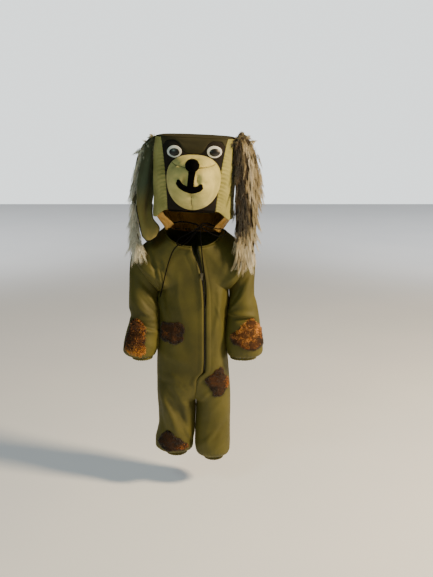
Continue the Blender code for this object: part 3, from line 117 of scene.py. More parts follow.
# Half of the suit: distance of the side seam and the inner leg from x = 0, and half depths
LEFT = Table(("z", "side", "inner", "front", "back"), (
    (114.5, 91, 26.7, 36, 36), (123, 113, 12, 52, 50), (137, 126, 6.5, 61, 58),
    (158, 126, 4.5, 63, 60), (180, 121, 1.2, 62, 60), (215, 114.5, -0.5, 62, 61),
    (250, 115, -1.8, 64, 65), (290, 117, -2.6, 69, 71), (378, 118, -3, 79, 83),
    (450, 116, -3, 82, 84), (520, 112, -3, 81, 79), (600, 108.5, -3, 79, 74),
    (640, 108, -3, 78, 74), (700, 108, -3, 77, 74)))
RIGHT = Table(("z", "side", "inner", "front", "back"), (
    (98.5, 88.6, 28.3, 35, 35), (107, 102, 10, 50, 48), (121.5, 110, 1.5, 60, 56),
    (145, 111.5, -1.2, 63, 60), (180, 111, 0, 62, 60), (215, 111, 1.7, 62, 61),
    (250, 112, 3, 64, 65), (290, 112, 3.4, 69, 71), (378, 107, 3, 79, 83),
    (420, 104, 3, 81, 84), (465, 99.5, 3, 82, 83), (540, 99.5, 3, 81, 79),
    (600, 104, 3, 79, 74), (640, 105.5, 3, 78, 74), (700, 105.5, 3, 77, 74)))
HALVES = {-1: LEFT, 1: RIGHT}

# Centre front line, pulled to one side along the zip, and half of the gap that the zip fills
CENTRE = Table(("z", "x", "gap"), (
    (285, 3, 0.3), (360, 6, 0.3), (378, 12, 0.6), (398, 30, 3),
    (450, 32.5, 3), (600, 32.5, 3), (660, 29.5, 3), (698, 24.5, 3), (740, 15, 6), (778.5, 4.5, 9.5)))
ZIP_BOTTOM = 0.4000

# Armpit and shoulder point of each half, and the neck
ARMPIT = {-1: Vector((-0.1080, 0.0, 0.637)), 1: Vector((0.1055, 0.0, 0.640))}
SHOULDER = {-1: Vector((-0.1900, 0.0, 0.748)), 1: Vector((0.1860, 0.0, 0.746))}
ARMHOLE_DEPTH = 0.045
NECK_POINT = {-1: (0.0900, 0.829), 1: (0.0870, 0.827)}
NECK_FRONT_Z = 0.7785
NECK_BACK_Z = 0.8120
NECK_FRONT_DEPTH = 0.073
NECK_BACK_DEPTH = 0.068

# Largest folds of the body, from one end to the other: height is outward, negative is a trough
FOLDS = Table(("x0", "z0", "x1", "z1", "width", "height"), (
    (-150, 735, -75, 640, 14, 5), (-125, 700, -70, 600, 12, -4),
    (140, 715, 80, 640, 14, 4), (85, 640, 78, 520, 12, 3),
    (-108, 285, -50, 190, 16, 5.5), (-85, 305, -28, 215, 13, -5),
    (-75, 380, -10, 330, 14, 3.5), (80, 300, 30, 215, 18, -2.5),
    (95, 180, 20, 150, 14, 3), (-60, 560, -20, 450, 20, -2.5)))

# Sleeve rings: outer and inner side from x = 0, half depth, middle of the depth, gather height
SLEEVE_COLUMN_NAMES = ("row", "outer_x", "outer_z", "inner_x", "inner_z", "depth", "mid_y", "gather")
LEFT_SLEEVE = Table(SLEEVE_COLUMN_NAMES, (
    (0, 190, 748, 108, 637, 45, 0, 0), (1, 195.5, 722, 110, 618, 46, 0, 0),
    (2, 197.5, 690, 109.5, 600, 47, -8, 0), (3, 198, 655, 108.8, 585, 47, -15, 0),
    (4, 199, 620, 108.5, 570, 46, -21, 0), (5, 200, 590, 109.5, 555, 45, -22, 0),
    (6, 194.5, 565, 109.2, 535, 42, -27, 0), (7, 199, 543, 109, 515, 46, -29, 0),
    (8, 209, 512, 110, 490, 49, -30, 0), (9, 216.5, 475, 113.5, 465, 51, -30, 0.6),
    (10, 218, 455, 117.5, 453, 49, -30, 1.2), (11, 208, 442, 123, 442, 43, -30, 1.8),
    (12, 191, 435.5, 130, 435.5, 34, -30, 1.8)), kept=1)
RIGHT_SLEEVE = Table(SLEEVE_COLUMN_NAMES, (
    (0, 186, 746, 105.5, 640, 45, 0, 0), (1, 186.5, 720, 107, 621, 46, 0, 0),
    (2, 185.5, 690, 105.2, 604, 47, -8, 0), (3, 183.5, 655, 103.8, 589, 47, -15, 0),
    (4, 183.5, 630, 102.2, 575, 45, -19, 0), (5, 191, 600, 101.2, 555, 46, -20, 0),
    (6, 196.5, 570, 99.2, 535, 47, -26, 0), (7, 200.5, 541, 98.5, 512, 48, -29, 0),
    (8, 204.5, 510, 98.7, 490, 50, -30, 0), (9, 209, 478, 99.5, 467, 51, -30, 0.6),
    (10, 209.5, 456, 101, 455, 49, -30, 1.2), (11, 203, 442, 105, 442.5, 43, -30, 1.8),
    (12, 190, 435.5, 111, 435.5, 34, -30, 1.8)), kept=1)
SLEEVES = {-1: LEFT_SLEEVE, 1: RIGHT_SLEEVE}
# Sleeve folds: row, turn from the outer side in degrees, width in rows and degrees, height
SLEEVE_FOLDS = {-1: ((6.9, 70, 0.8, 75, 0.004), (5.9, 100, 0.7, 50, -0.0035), (3.0, 120, 1.3, 25, -0.003)),
                1: ((4.6, 50, 0.8, 60, 0.0045), (5.8, 80, 0.8, 50, -0.0035), (2.6, 115, 1.3, 25, -0.003))}

# Hood: half width, half depth to the front and to the back at each height, in the hood's own frame
HOOD_PLACE = (0.0050, 0.0, 1.000)
HOOD_YAW = math.radians(-2.5)
HOOD_ROLL = math.radians(2.3)
HOOD_POWER = 3.4
HOOD = Table(("z", "half", "front", "back"), (
    (866, 119, 118, 100), (890, 116.5, 117, 103), (930, 117, 116.5, 106), (1000, 120, 116, 108),
    (1060, 120, 115, 104), (1098, 116.5, 112, 98)))
HOOD_TOP = 1.0980
MASK_BOTTOM = 0.8930
BRIM = 0.8660
CHEEK_TURN = -22
# Half width of the mask at each height, and the lower edge of the forehead at each distance
MASK = Table(("z", "half"), (
    (866, 68), (893, 69), (950, 74), (1020, 82), (1080, 92), (1098, 96)))
FOREHEAD = Table(("x", "z"), (
    (0, 1052), (20, 1054), (32, 1062), (43, 1083), (55, 1090.5), (76, 1089.5), (94, 1076)))
TOP_DOME = 0.0040

# Muzzle, in the hood's frame
MUZZLE_X = 0.0035
MUZZLE_Z = 0.9860
MUZZLE_HALF = 0.0775
MUZZLE_UP = 0.0660
MUZZLE_DOWN = 0.0900
MUZZLE_DEPTH = 0.0980
NOSE_X = 0.0050
NOSE_Z = 1.0210
NOSE_RADIUS = 0.0195
NOSE_DEPTH = 0.0260
SEAM_TURNS = (8, 172, 270)
EYE_MIDDLE = 0.0025
EYE_SPREAD = 0.0570
EYE_Z = {-1: 1.0580, 1: 1.0610}
EYE_HALF = (0.0215, 0.0176)
PUPIL_HALF = (0.0150, 0.0112)
SMILE = Table(("x", "z"), (
    (-35, 984), (-26, 972), (-11, 964), (6, 961), (23, 964), (35, 973)))
SMILE_HALF = 0.0085
STRIP_HALF = 0.0085

# Gathered neck section of the hood
FUNNEL_OPEN = (38, 127)
FUNNEL_PLEATS = 14
def wave(x, x0, x1):
    """0 before x0, 1 after x1, smooth between."""
    s = min(1.0, max(0.0, (x - x0) / (x1 - x0)))
    return s * s * (3 - 2 * s)


def power(value, exponent):
    """Power that keeps the sign."""
    return math.copysign(abs(value) ** exponent, value)


def polar_turn(degrees):
    angle = math.radians(degrees)
    return math.cos(angle), math.sin(angle)


def normal_of(surface, u, v, outward):
    """Unit normal of a surface function, on the side of the outward hint."""
    e = 0.004
    du = surface(u + e, v) - surface(u - e, v)
    dv = surface(u, v + e) - surface(u, v - e)
    normal = du.cross(dv)
    if normal.length < 1e-12:
        return outward.normalized()
    normal.normalize()
    return normal if normal.dot(outward) >= 0 else -normal


def in_plane(normal, axis):
    """The normal without its part along a seam's axis."""
    flat = normal - axis * normal.dot(axis)
    return flat.normalized() if flat.length > 0.2 else normal

def row_heights(side, face, row):
    """Heights of the side end and the inner end of a row."""
    hem = HALVES[side].rows[0][0]
    armpit = ARMPIT[side].z
    inner_top = 0.700 if face < 0 else 0.740
    neck_z = NECK_FRONT_Z if face < 0 else NECK_BACK_Z
    heights = Table(("row", "side", "inner"), (
        (0, hem, hem),
        (1, hem + 0.011, hem + 0.011),
        (2, hem + 0.026, hem + 0.026),
        (3.5, 0.167, 0.167),
        (CROTCH_ROW, 0.290, 0.285),
        (8.5, 0.325, 0.303),
        (FRONT_ROW, 0.360, 0.360),
        (ARMPIT_ROW, armpit, inner_top),
        (NECK_ROW, armpit, neck_z)), unit=1)
    return heights.at("side", row), heights.at("inner", row)


def ridge(row, x, z, wander, ends_at):
    """Height of one ridge or trough (x0, z0, x1, z1, width, height) at a point."""
    x0, z0, x1, z1, width, height = row
    along_x, along_z = x1 - x0, z1 - z0
    length = math.hypot(along_x, along_z)
    along = ((x - x0) * along_x + (z - z0) * along_z) / length
    across = ((x - x0) * along_z - (z - z0) * along_x) / length
    across += wander * math.sin(along * 38 + x0 * 90)
    first, last = ends_at
    if along < first or along > length - first or abs(across) > width * 3.2 and wander:
        return 0.0
    ends = wave(along, first, last) * (1 - wave(along, length - last, length - first))
    return height * ends * math.exp(-(across / width) ** 2)


def fold_height(x, z):
    """Sum of the body's folds at a point of the front."""
    return sum(ridge(row, x, z, 0.0, (-0.02, 0.02)) for row in FOLDS.rows)


def suit_point(side, face, u, row, crests=False):
    """Point of a suit panel: side -1 left, face -1 front, u 0 centre or inner leg, u 1 side seam.

    With crests it is the smooth surface that touches the gathers' crests, for what lies on them.
    """
    table = HALVES[side]
    side_z, inner_z = row_heights(side, face, row)
    if row > ARMPIT_ROW:
        s = min(1.0, (row - ARMPIT_ROW) / (PANEL_ROWS - ARMPIT_ROW))
        climb = (1 - math.cos(math.pi * s)) / 2
        edge = ARMPIT[side].lerp(SHOULDER[side], climb)
        side_x, side_z = abs(edge.x), edge.z
        bulge = ARMHOLE_DEPTH * math.sin(math.pi * s)
    else:
        side_x, bulge = table.at("side", side_z), 0.0
    if row <= CROTCH_ROW:
        turn, inner_x = 180.0, table.at("inner", inner_z)
    else:
        turn = 180.0 - 90.0 * min(1.0, (row - CROTCH_ROW) / (FRONT_ROW - CROTCH_ROW))
        if face < 0:
            inner_x = side * CENTRE.at("x", inner_z) + CENTRE.at("gap", inner_z)
        else:
            inner_x = side * 0.0030 + 0.0003
    depth = table.at("front" if face < 0 else "back", 0.5 * (side_z + inner_z))
    if row > NECK_ROW:
        s = min(1.0, (row - NECK_ROW) / (PANEL_ROWS - NECK_ROW))
        across, down = math.sin(math.pi / 2 * s), math.cos(math.pi / 2 * s)
        neck_x, neck_z = NECK_POINT[side]
        bottom_z = NECK_FRONT_Z if face < 0 else NECK_BACK_Z
        inner_x += (neck_x - inner_x) * across
        inner_z = bottom_z + (neck_z - bottom_z) * (1 - down)
        depth = (NECK_FRONT_DEPTH if face < 0 else NECK_BACK_DEPTH) * down
    elif row > ARMPIT_ROW:
        neck_depth = NECK_FRONT_DEPTH if face < 0 else NECK_BACK_DEPTH
        depth += (neck_depth - depth) * (row - ARMPIT_ROW) / (NECK_ROW - ARMPIT_ROW)
    cos_turn, sin_turn = polar_turn(turn * (1 - u))
    half = (side_x - inner_x) / (1 - power(math.cos(math.radians(turn)), 0.87))
    middle = side_x - half
    x = middle + half * power(cos_turn, 0.87)
    y = depth * power(sin_turn, 0.87) + bulge * cos_turn**2
    reach = min(1.0, max(0.0, (x - inner_x) / max(1e-6, side_x - inner_x)))
    z = inner_z + (side_z - inner_z) * reach
    if face < 0:
        y += fold_height(side * x, z) * (1 - u**6) * (1 - (1 - u) ** 8 if turn > 90 else 1)
    hem = table.rows[0][0]
    beat = 1.0 if crests else math.cos(math.pi * PANEL_COLUMNS * u)
    gather = 0.0018 * (1 - wave(z, hem + 0.004, hem + 0.045)) * beat
    away = Vector((x - middle, y, 0.0))
    if gather and away.length > 1e-6:
        away.normalize()
        x += gather * away.x
        y += gather * away.y
    return Vector((side * x, face * y + face * HALF_SEAM, z))


def armhole_axis(side):
    """Direction out of the body at the armhole, square to its plane."""
    rise = SHOULDER[side] - ARMPIT[side]
    axis = Vector((abs(rise.z) * side, 0.0, -abs(rise.x)))
    return axis.normalized()


def suit_normal(side, face, u, row):
    """Outward normal; along a seam it stays in the seam's plane, so that the walls meet squarely."""
    near = suit_point(side, face, u, row)
    centre_x = side * 0.055 if row <= CROTCH_ROW + 1 else 0.0
    outward = Vector((near.x - centre_x, near.y, 0.03 if row > NECK_ROW else 0.0))
    normal = normal_of(lambda a, b: suit_point(side, face, a, b * 2), u, row / 2, outward)
    if u == 1 and row > ARMPIT_ROW:
        return in_plane(normal, armhole_axis(side))
    if u == 1 or (u == 0 and row <= CROTCH_ROW) or row == PANEL_ROWS:
        return in_plane(normal, Vector((0, 1, 0)))
    if u == 0 and row <= NECK_ROW:
        return in_plane(normal, Vector((1, 0, 0)))
    if row == 0:
        return in_plane(normal, Vector((0, 0, 1)))
    return normal


def sleeve_point(side, turn, row, crests=False):
    """Point of a sleeve; turn 0 is its outer side, 90 its front, in degrees."""
    table = SLEEVES[side]
    outer = Vector((side * table.at("outer_x", row), 0.0, table.at("outer_z", row)))
    inner = Vector((side * table.at("inner_x", row), 0.0, table.at("inner_z", row)))
    cos_turn, sin_turn = polar_turn(turn)
    depth = table.at("depth", row)
    for at_row, at_turn, rows, turns, height in SLEEVE_FOLDS[side]:
        away = ((row - at_row) / rows) ** 2 + (((turn - at_turn + 180) % 360 - 180) / turns) ** 2
        depth += height * math.exp(-away)
    beat = 1.0 if crests else math.cos(math.radians(turn) * SLEEVE_COLUMNS / 2)
    gather = table.at("gather", row) * beat
    swell = 1 + gather / 0.04
    middle = (outer + inner) / 2
    point = middle + (outer - inner) / 2 * cos_turn * swell
    point.y = table.at("mid_y", row) - depth * sin_turn * swell
    if row < 1:
        point += armhole_axis(side) * SLEEVE_SEAM * (1 - row)
    return point


def sleeve_normal(side, turn, row):
    table = SLEEVES[side]
    middle = Vector((side * (table.at("outer_x", row) + table.at("inner_x", row)) / 2,
                     table.at("mid_y", row), (table.at("outer_z", row) + table.at("inner_z", row)) / 2))
    outward = sleeve_point(side, turn, row) - middle
    normal = normal_of(lambda a, b: sleeve_point(side, a * 400, b * 2), turn / 400, row / 2, outward)
    if row == 0:
        return in_plane(normal, armhole_axis(side))
    return normal

# Middle and scale in the panel's own coordinates, and the circles (x, y, radius) that give the edge.
# On the body x runs from the centre to the side and y up; on a sleeve x turns to the front, y runs down.
BODY_PATCHES = (
    ("patch_hip_left", -1, (0.48, 13.35), (0.255, 0.72), (
        (0.0, 0.0, 0.75), (0.5, 0.35, 0.48), (0.55, -0.35, 0.42), (-0.45, -0.45, 0.5), (-0.5, 0.35, 0.5))),
    ("patch_thigh_right", 1, (0.46, 9.85), (0.34, 1.45), (
        (0.0, 0.0, 0.6), (-0.55, 0.33, 0.42), (0.1, -0.55, 0.45), (0.62, -0.05, 0.42), (-0.15, 0.55, 0.4))),
    ("patch_ankle_left", -1, (0.52, 3.1), (0.27, 1.55), (
        (0.0, 0.0, 0.55), (0.35, 0.15, 0.6), (0.38, 0.6, 0.38), (-0.55, -0.45, 0.48), (0.15, -0.6, 0.42))))
ARM_PATCHES = (
    ("patch_arm_left", -1, (74.0, 8.2), (50.0, 2.3), (
        (0.0, 0.0, 0.6), (-0.3, -0.45, 0.55), (0.3, 0.55, 0.48), (-0.42, 0.2, 0.5), (0.12, -0.6, 0.38))),
    ("patch_arm_right", 1, (66.0, 7.75), (72.0, 1.8), (
        (0.0, 0.0, 0.64), (0.0, -0.58, 0.42), (-0.12, 0.3, 0.65), (0.52, -0.04, 0.5), (-0.48, 0.26, 0.5))))


def lobed_outline(lobes, turn):
    """Distance from the patch's middle to its edge: the farthest of a few circles' edges."""
    cos_turn, sin_turn = polar_turn(turn)
    far = 0.0
    for x, y, radius in lobes:
        along = x * cos_turn + y * sin_turn
        inside = radius**2 - (x**2 + y**2 - along**2)
        if inside > 0:
            far = max(far, along + math.sqrt(inside))
    return far

def hood_place(point):
    """From the hood's own frame to the world: turned and tipped a little about its middle."""
    pivot = Vector(HOOD_PLACE)
    middle = Vector((0.0, 0.0, HOOD_PLACE[2]))
    turned = Matrix.Rotation(HOOD_ROLL, 4, "Y") @ Matrix.Rotation(HOOD_YAW, 4, "Z") @ (point - middle)
    return pivot + turned


def hood_local(turn, z):
    """Point of the hood's outer wall in its own frame; turn 0 is the right side, 90 the front."""
    cos_turn, sin_turn = polar_turn(turn)
    depth = HOOD.at("front" if sin_turn >= 0 else "back", z)
    x = HOOD.at("half", z) * power(cos_turn, 2 / HOOD_POWER)
    return Vector((x, -depth * power(sin_turn, 2 / HOOD_POWER), z))


def turn_at(x, z):
    """Turn of the hood's front wall at a distance from its middle."""
    share = min(1.0, abs(x) / HOOD.at("half", z))
    turn = math.degrees(math.acos(share ** (HOOD_POWER / 2)))
    return turn if x >= 0 else 180 - turn


def hood_front(x, z):
    """Point of the hood's front wall over (x, z)."""
    return hood_local(turn_at(x, z), z)


def hood_normal(x, z):
    e = 0.002
    across = hood_front(x + e, z) - hood_front(x - e, z)
    up = hood_front(x, z + e) - hood_front(x, z - e)
    return -up.cross(across).normalized() if up.cross(across).y > 0 else up.cross(across).normalized()


def seam_turn(z, gap):
    """Turn of the mask's right edge at a height, moved by half a seam along the wall."""
    x = MASK.at("half", z) + gap
    return turn_at(x, z)


def forehead_edge(turn):
    """Height of the forehead's lower edge at a turn of the front wall."""
    x = abs(hood_local(turn, 1.07).x)
    return FOREHEAD.at("z", x)


def muzzle_edge(turn):
    """Outline of the muzzle seen from the front, from the nose's middle, in the hood's frame."""
    cos_turn, sin_turn = polar_turn(turn)
    low, high = 0.0, 0.3
    for step in range(40):
        reach = (low + high) / 2
        x = NOSE_X + reach * cos_turn
        z = NOSE_Z + reach * sin_turn
        if muzzle_share(x, z) < 1:
            low = reach
        else:
            high = reach
    return low


def muzzle_share(x, z):
    """0 at the muzzle's middle, 1 on its outline."""
    rise = z - MUZZLE_Z
    tall = MUZZLE_UP if rise >= 0 else MUZZLE_DOWN
    sharp = 2.4 if rise >= 0 else 2.05
    return (abs((x - MUZZLE_X) / MUZZLE_HALF) ** sharp + abs(rise / tall) ** sharp) ** (1 / sharp)


def muzzle_front(x, z):
    """Point of the padded muzzle's outside over (x, z)."""
    share = min(1.0, muzzle_share(x, z))
    height = MUZZLE_DEPTH * (1 - share**2.8) ** 0.52
    base = hood_front(x, z)
    return Vector((x, base.y - 0.0006 - height, z))


def muzzle_normal(x, z):
    e = 0.002
    across = muzzle_front(x + e, z) - muzzle_front(x - e, z)
    up = muzzle_front(x, z + e) - muzzle_front(x, z - e)
    normal = across.cross(up).normalized()
    return normal if normal.y < 0 else -normal


def funnel_point(turn, share):
    """Gathered neck section: share 0 inside the hood's lower edge, 1 at the drawstring."""
    cos_turn, sin_turn = polar_turn(turn)
    front = max(0.0, sin_turn)
    top_z = 0.878 + 0.012 * front**3
    rear = max(0.0, -sin_turn)
    low_z = 0.829 + 0.026 * front**2 - 0.013 * rear**2
    top = hood_local(turn, top_z)
    scale = 1 - 0.0042 / math.hypot(top.x, top.y)
    half_x, half_y = 0.0820, (0.0880 if sin_turn >= 0 else 0.0600)
    low = Vector((half_x * power(cos_turn, 0.9), -half_y * power(sin_turn, 0.9), low_z))
    drop = wave(share, -0.2, 1.1)
    drop = (drop - wave(0, -0.2, 1.1)) / (wave(1, -0.2, 1.1) - wave(0, -0.2, 1.1))
    point = Vector((top.x * scale, top.y * scale, top_z)).lerp(low, drop)
    point.z = top_z + (low_z - top_z) * share
    pleat = 0.0026 * share * math.cos(math.radians(turn) * FUNNEL_PLEATS)
    away = Vector((point.x, point.y, 0.0)).normalized()
    return point + away * pleat

# Ears: a row for each height, the edge away from the head, the edge by the head
EAR_COLUMNS = ("z", "out_x", "out_y", "in_x", "in_y")
LEFT_LINING = Table(EAR_COLUMNS, (
    (800, -140, -76, -124, -76), (812, -150, -73, -108, -74),
    (835, -156, -67, -100, -67), (862, -162, -58, -122, -40), (895, -167, -48, -128, 0), (956, -166.5, -35, -121, 20),
    (1030, -154.5, -22, -119, 25), (1080, -134.5, -18, -113, 22), (1100, -120, -16, -107.6, 20)))
RIGHT_LINING = Table(EAR_COLUMNS, (
    (835, 170, -12, 145, -30), (862, 176, -4, 131, -30), (895, 187, 6, 134, -30),
    (956, 195.2, 16, 135, -27), (1030, 182.5, 22, 137, -24), (1080, 163, 22, 137, -20), (1100, 153, 20, 136.5, -18)))
LEFT_FUR = Table(EAR_COLUMNS + ("pile",), (
    (722, -170, -72, -156, -72, 5), (760, -179, -70, -148, -70, 6),
    (800, -180, -60, -160, -60, 8), (850, -182, -48, -169, -42, 8),
    (895, -180, -41, -142, 14, 11), (956, -179.5, -24, -132, 36, 13),
    (1030, -168.5, -10, -129, 41, 13), (1080, -146.5, -14, -120, 24.5, 11), (1106, -131, -20, -115, 19, 8)))
RIGHT_FUR = Table(EAR_COLUMNS + ("pile",), (
    (690, 160, -72, 142, -76, 5), (735, 172, -66, 130, -78, 8),
    (785, 181, -48, 127, -80, 11), (850, 188, -18, 126, -80, 14),
    (895, 192, -3, 124, -86, 16), (956, 196, 7, 124, -89, 17),
    (1030, 189, 14, 119.3, -90, 17), (1080, 172, 16, 120, -88, 15), (1116, 156, 12, 120, -84, 10)))


def ear_point(table, u, z, bend):
    """Point of an ear; u 0 is its edge by the head, 1 the edge away from it."""
    inner = Vector((table.at("in_x", z), table.at("in_y", z), z))
    outer = Vector((table.at("out_x", z), table.at("out_y", z), z))
    point = inner.lerp(outer, u)
    across = outer - inner
    away = Vector((-across.y, across.x, 0.0)).normalized()
    return point + away * bend * math.sin(math.pi * u) * across.length

# Drawstring, above the floor. Each run leaves the knot along its own direction and goes through its
# listed points; a loop comes back to the knot along the second direction.
KNOT = Vector((0.0200, -0.1040, 0.8450))
KNOT_RADII = (0.0082, 0.0056, 0.0072)
KNOT_GAP = 0.0003
CORD_RUNS = {
    "cord_loop_left": ((-0.8, -0.5, -0.33), (
        (-0.008, -0.111, 0.83), (-0.028, -0.107, 0.818), (-0.044, -0.103, 0.807),
        (-0.048, -0.099, 0.796), (-0.041, -0.097, 0.789), (-0.026, -0.099, 0.793),
        (-0.01, -0.102, 0.807), (0.003, -0.104, 0.823)), (-0.45, -0.15, -0.88)),
    "cord_loop_right": ((0.8, -0.45, -0.4), (
        (0.041, -0.108, 0.832), (0.056, -0.102, 0.823), (0.071, -0.093, 0.816),
        (0.085, -0.083, 0.815), (0.094, -0.076, 0.82), (0.095, -0.074, 0.829),
        (0.086, -0.079, 0.834), (0.07, -0.089, 0.837), (0.052, -0.096, 0.842)), (0.93, 0.25, 0.25)),
    "cord_end_left": ((-0.55, 0.6, -0.58), (
        (-0.006, -0.09, 0.818), (-0.025, -0.087, 0.802), (-0.045, -0.085, 0.788),
        (-0.06, -0.081, 0.77), (-0.072, -0.079, 0.74), (-0.08, -0.079, 0.712),
        (-0.087, -0.076, 0.685), (-0.093, -0.069, 0.66), (-0.099, -0.052, 0.637), (-0.102, -0.046, 0.624)), None),
    "cord_end_right": ((0.05, 0.15, -0.99), (
        (0.0205, -0.1, 0.82), (0.022, -0.094, 0.8), (0.0235, -0.087, 0.785),
        (0.025, -0.082, 0.765), (0.028, -0.084, 0.735), (0.032, -0.086, 0.7),
        (0.0365, -0.087, 0.665), (0.037, -0.087, 0.63), (0.035, -0.087, 0.604)), None),
    "cord_casing_left": ((-0.8, 0.35, 0.49), (
        (-0.012, -0.095, 0.856), (-0.033, -0.087, 0.8575), (-0.048, -0.078, 0.8545),
        (-0.0583, -0.0722, 0.8519)), None),
    "cord_casing_right": ((0.5, 0.65, 0.57), (
        (0.037, -0.088, 0.853), (0.048, -0.076, 0.849), (0.055, -0.066, 0.844), (0.0612, -0.0596, 0.8406)), None)}
CORD_SPACING = 0.0100


def smooth_run(points, spacing):
    """Points on a smooth curve through given ones, about one each spacing."""
    marks = [points[0] * 2 - points[1]] + points + [points[-1] * 2 - points[-2]]
    run = []
    for a, b, c, d in zip(marks, marks[1:], marks[2:], marks[3:]):
        count = max(1, round((c - b).length / spacing))
        for k in range(count):
            s = k / count
            run.append(0.5 * (2 * b + (c - a) * s + (2 * a - 5 * b + 4 * c - d) * s**2
                              + (3 * b - 3 * c + d - a) * s**3))
    run.append(marks[-2])
    return run


def knot_point(direction, distance):
    """Point off the knot's surface, at a distance along a direction from its middle."""
    way = Vector(direction).normalized()
    radius = 1 / math.sqrt(sum((part / size) ** 2 for part, size in zip(way, KNOT_RADII)))
    return KNOT + way * (radius + distance)


def cord_points(start, points, end):
    """Given points with the ends that meet the knot."""
    run = [knot_point(start, KNOT_GAP), knot_point(start, 0.005)] + [Vector(p) for p in points]
    if end:
        run += [knot_point(end, 0.005), knot_point(end, KNOT_GAP)]
    return run


# Cloth relief on top of the largest folds. Creases run from one end to the other; height is outward.
FRONT_CREASES = Table(("x0", "z0", "x1", "z1", "width", "height"), (
    (-160, 728, -98, 668, 6, 3.7), (-148, 745, -80, 690, 7, -3.1),
    (-112, 655, -88, 560, 6, 4), (-98, 650, -70, 520, 8, -4),
    (-82, 600, -62, 470, 9, 2.8), (-50, 700, -38, 560, 10, 1.9),
    (150, 722, 100, 672, 6, 3.4), (128, 735, 88, 690, 7, -2.8),
    (100, 650, 92, 560, 6, -3.4), (72, 640, 66, 500, 7, 3.1),
    (60, 560, 58, 430, 9, -1.9), (-100, 455, -30, 425, 10, 2.2),
    (90, 440, 45, 410, 10, 2.2), (-78, 343, -24, 208, 9, -5.6),
    (-100, 332, -57, 198, 10, 5.6), (-108, 290, -92, 190, 8, -3.4),
    (-52, 359, -25, 337, 4, -3), (-4, 327, -21, 306, 4, -2.6),
    (-48, 300, -16, 270, 10, 3), (-134, 755, -100, 662, 5, -5.2),
    (-120, 745, -90, 668, 6, 3.2), (67, 600, 84, 507, 4, 2.6),
    (-46, 238, -12, 176, 6, 3.4), (-40, 215, -10, 160, 6, -3.4),
    (50, 330, 14, 296, 6, 2.8), (88, 320, 52, 250, 10, 2.2), (95, 228, 58, 166, 9, -3.1), (72, 212, 26, 158, 7, 3.4),
    (104, 170, 60, 132, 6, 3.1)))
BACK_CREASES = Table(("x0", "z0", "x1", "z1", "width", "height"), (
    (-155, 730, -85, 660, 8, 4.7), (-130, 712, -60, 615, 10, -5),
    (-90, 640, -60, 520, 10, 3.7), (-60, 760, -20, 640, 12, 2.8),
    (-75, 520, -15, 455, 12, -4), (-95, 440, -20, 400, 12, 4),
    (-88, 345, -18, 312, 8, -3.7), (-104, 290, -30, 232, 9, 5.3),
    (-98, 255, -26, 205, 8, -4.7), (-100, 210, -40, 160, 8, 3.7),
    (150, 728, 80, 655, 8, 4.7), (125, 710, 55, 610, 10, -4.7),
    (88, 640, 55, 515, 10, 3.7), (40, 750, 18, 610, 12, -2.5),
    (80, 505, 20, 448, 12, 3.7), (92, 420, 18, 385, 12, -3.7),
    (86, 350, 20, 316, 8, 3.7), (100, 285, 32, 236, 9, -4.7), (94, 250, 24, 196, 8, 5), (100, 200, 45, 156, 8, -3.4)))
# Sleeve creases: row and turn of the middle, slant in rows each degree, width in rows, reach, height
SLEEVE_CREASES = {
    -1: ((6.9, 82, 0.004, 0.22, 52, 0.0084), (6.4, 90, 0.004, 0.22, 48, -0.007),
         (5.55, 112, -0.01, 0.34, 34, 0.0039), (4.6, 96, 0.012, 0.4, 40, 0.003),
         (3.6, 120, 0.016, 0.42, 36, -0.0039), (2.5, 128, 0.018, 0.4, 34, 0.0036),
         (7.6, 60, -0.006, 0.3, 36, -0.0033), (8.4, 118, 0.01, 0.36, 34, 0.0027),
         (6.6, 250, 0.004, 0.4, 60, 0.006), (5.9, 262, -0.006, 0.36, 50, -0.0054),
         (4.4, 235, 0.01, 0.4, 44, 0.0039), (2.8, 228, -0.016, 0.44, 36, -0.0039),
         (8.3, 280, 0.006, 0.4, 44, -0.003), (7.4, 225, -0.01, 0.34, 30, 0.0033)),
    1: ((5.25, 92, -0.016, 0.24, 52, 0.0086), (5.8, 84, -0.016, 0.25, 50, -0.008),
        (4.35, 104, -0.014, 0.34, 40, -0.0036), (6.7, 66, -0.01, 0.36, 44, 0.0045),
        (3.3, 118, 0.016, 0.42, 36, 0.0036), (2.3, 126, 0.018, 0.4, 34, -0.0036),
        (7.6, 112, -0.008, 0.36, 36, 0.0024), (8.5, 70, 0.008, 0.36, 36, -0.0024),
        (5.4, 250, 0.006, 0.4, 60, 0.006), (6.1, 258, 0.004, 0.36, 54, -0.0054),
        (4.2, 236, -0.01, 0.4, 44, -0.0036), (2.9, 230, 0.016, 0.44, 36, 0.0039),
        (8.1, 276, -0.006, 0.4, 44, 0.0033), (7.2, 222, 0.01, 0.34, 30, -0.003))}
HEM_GATHERS = 17
CUFF_GATHERS = 26
CLOTH_SHELL = 0.0011


def creases(table, x, z):
    """Sum of a table's soft ridges and troughs at a point."""
    return sum(ridge(row, x, z, 0.004, (-0.028, 0.030)) for row in table.rows)


def uneven(x, y, z, size):
    """Smooth unevenness of hanging cloth, about -1 to 1."""
    return noise.noise(Vector((x, y, z)) / size)


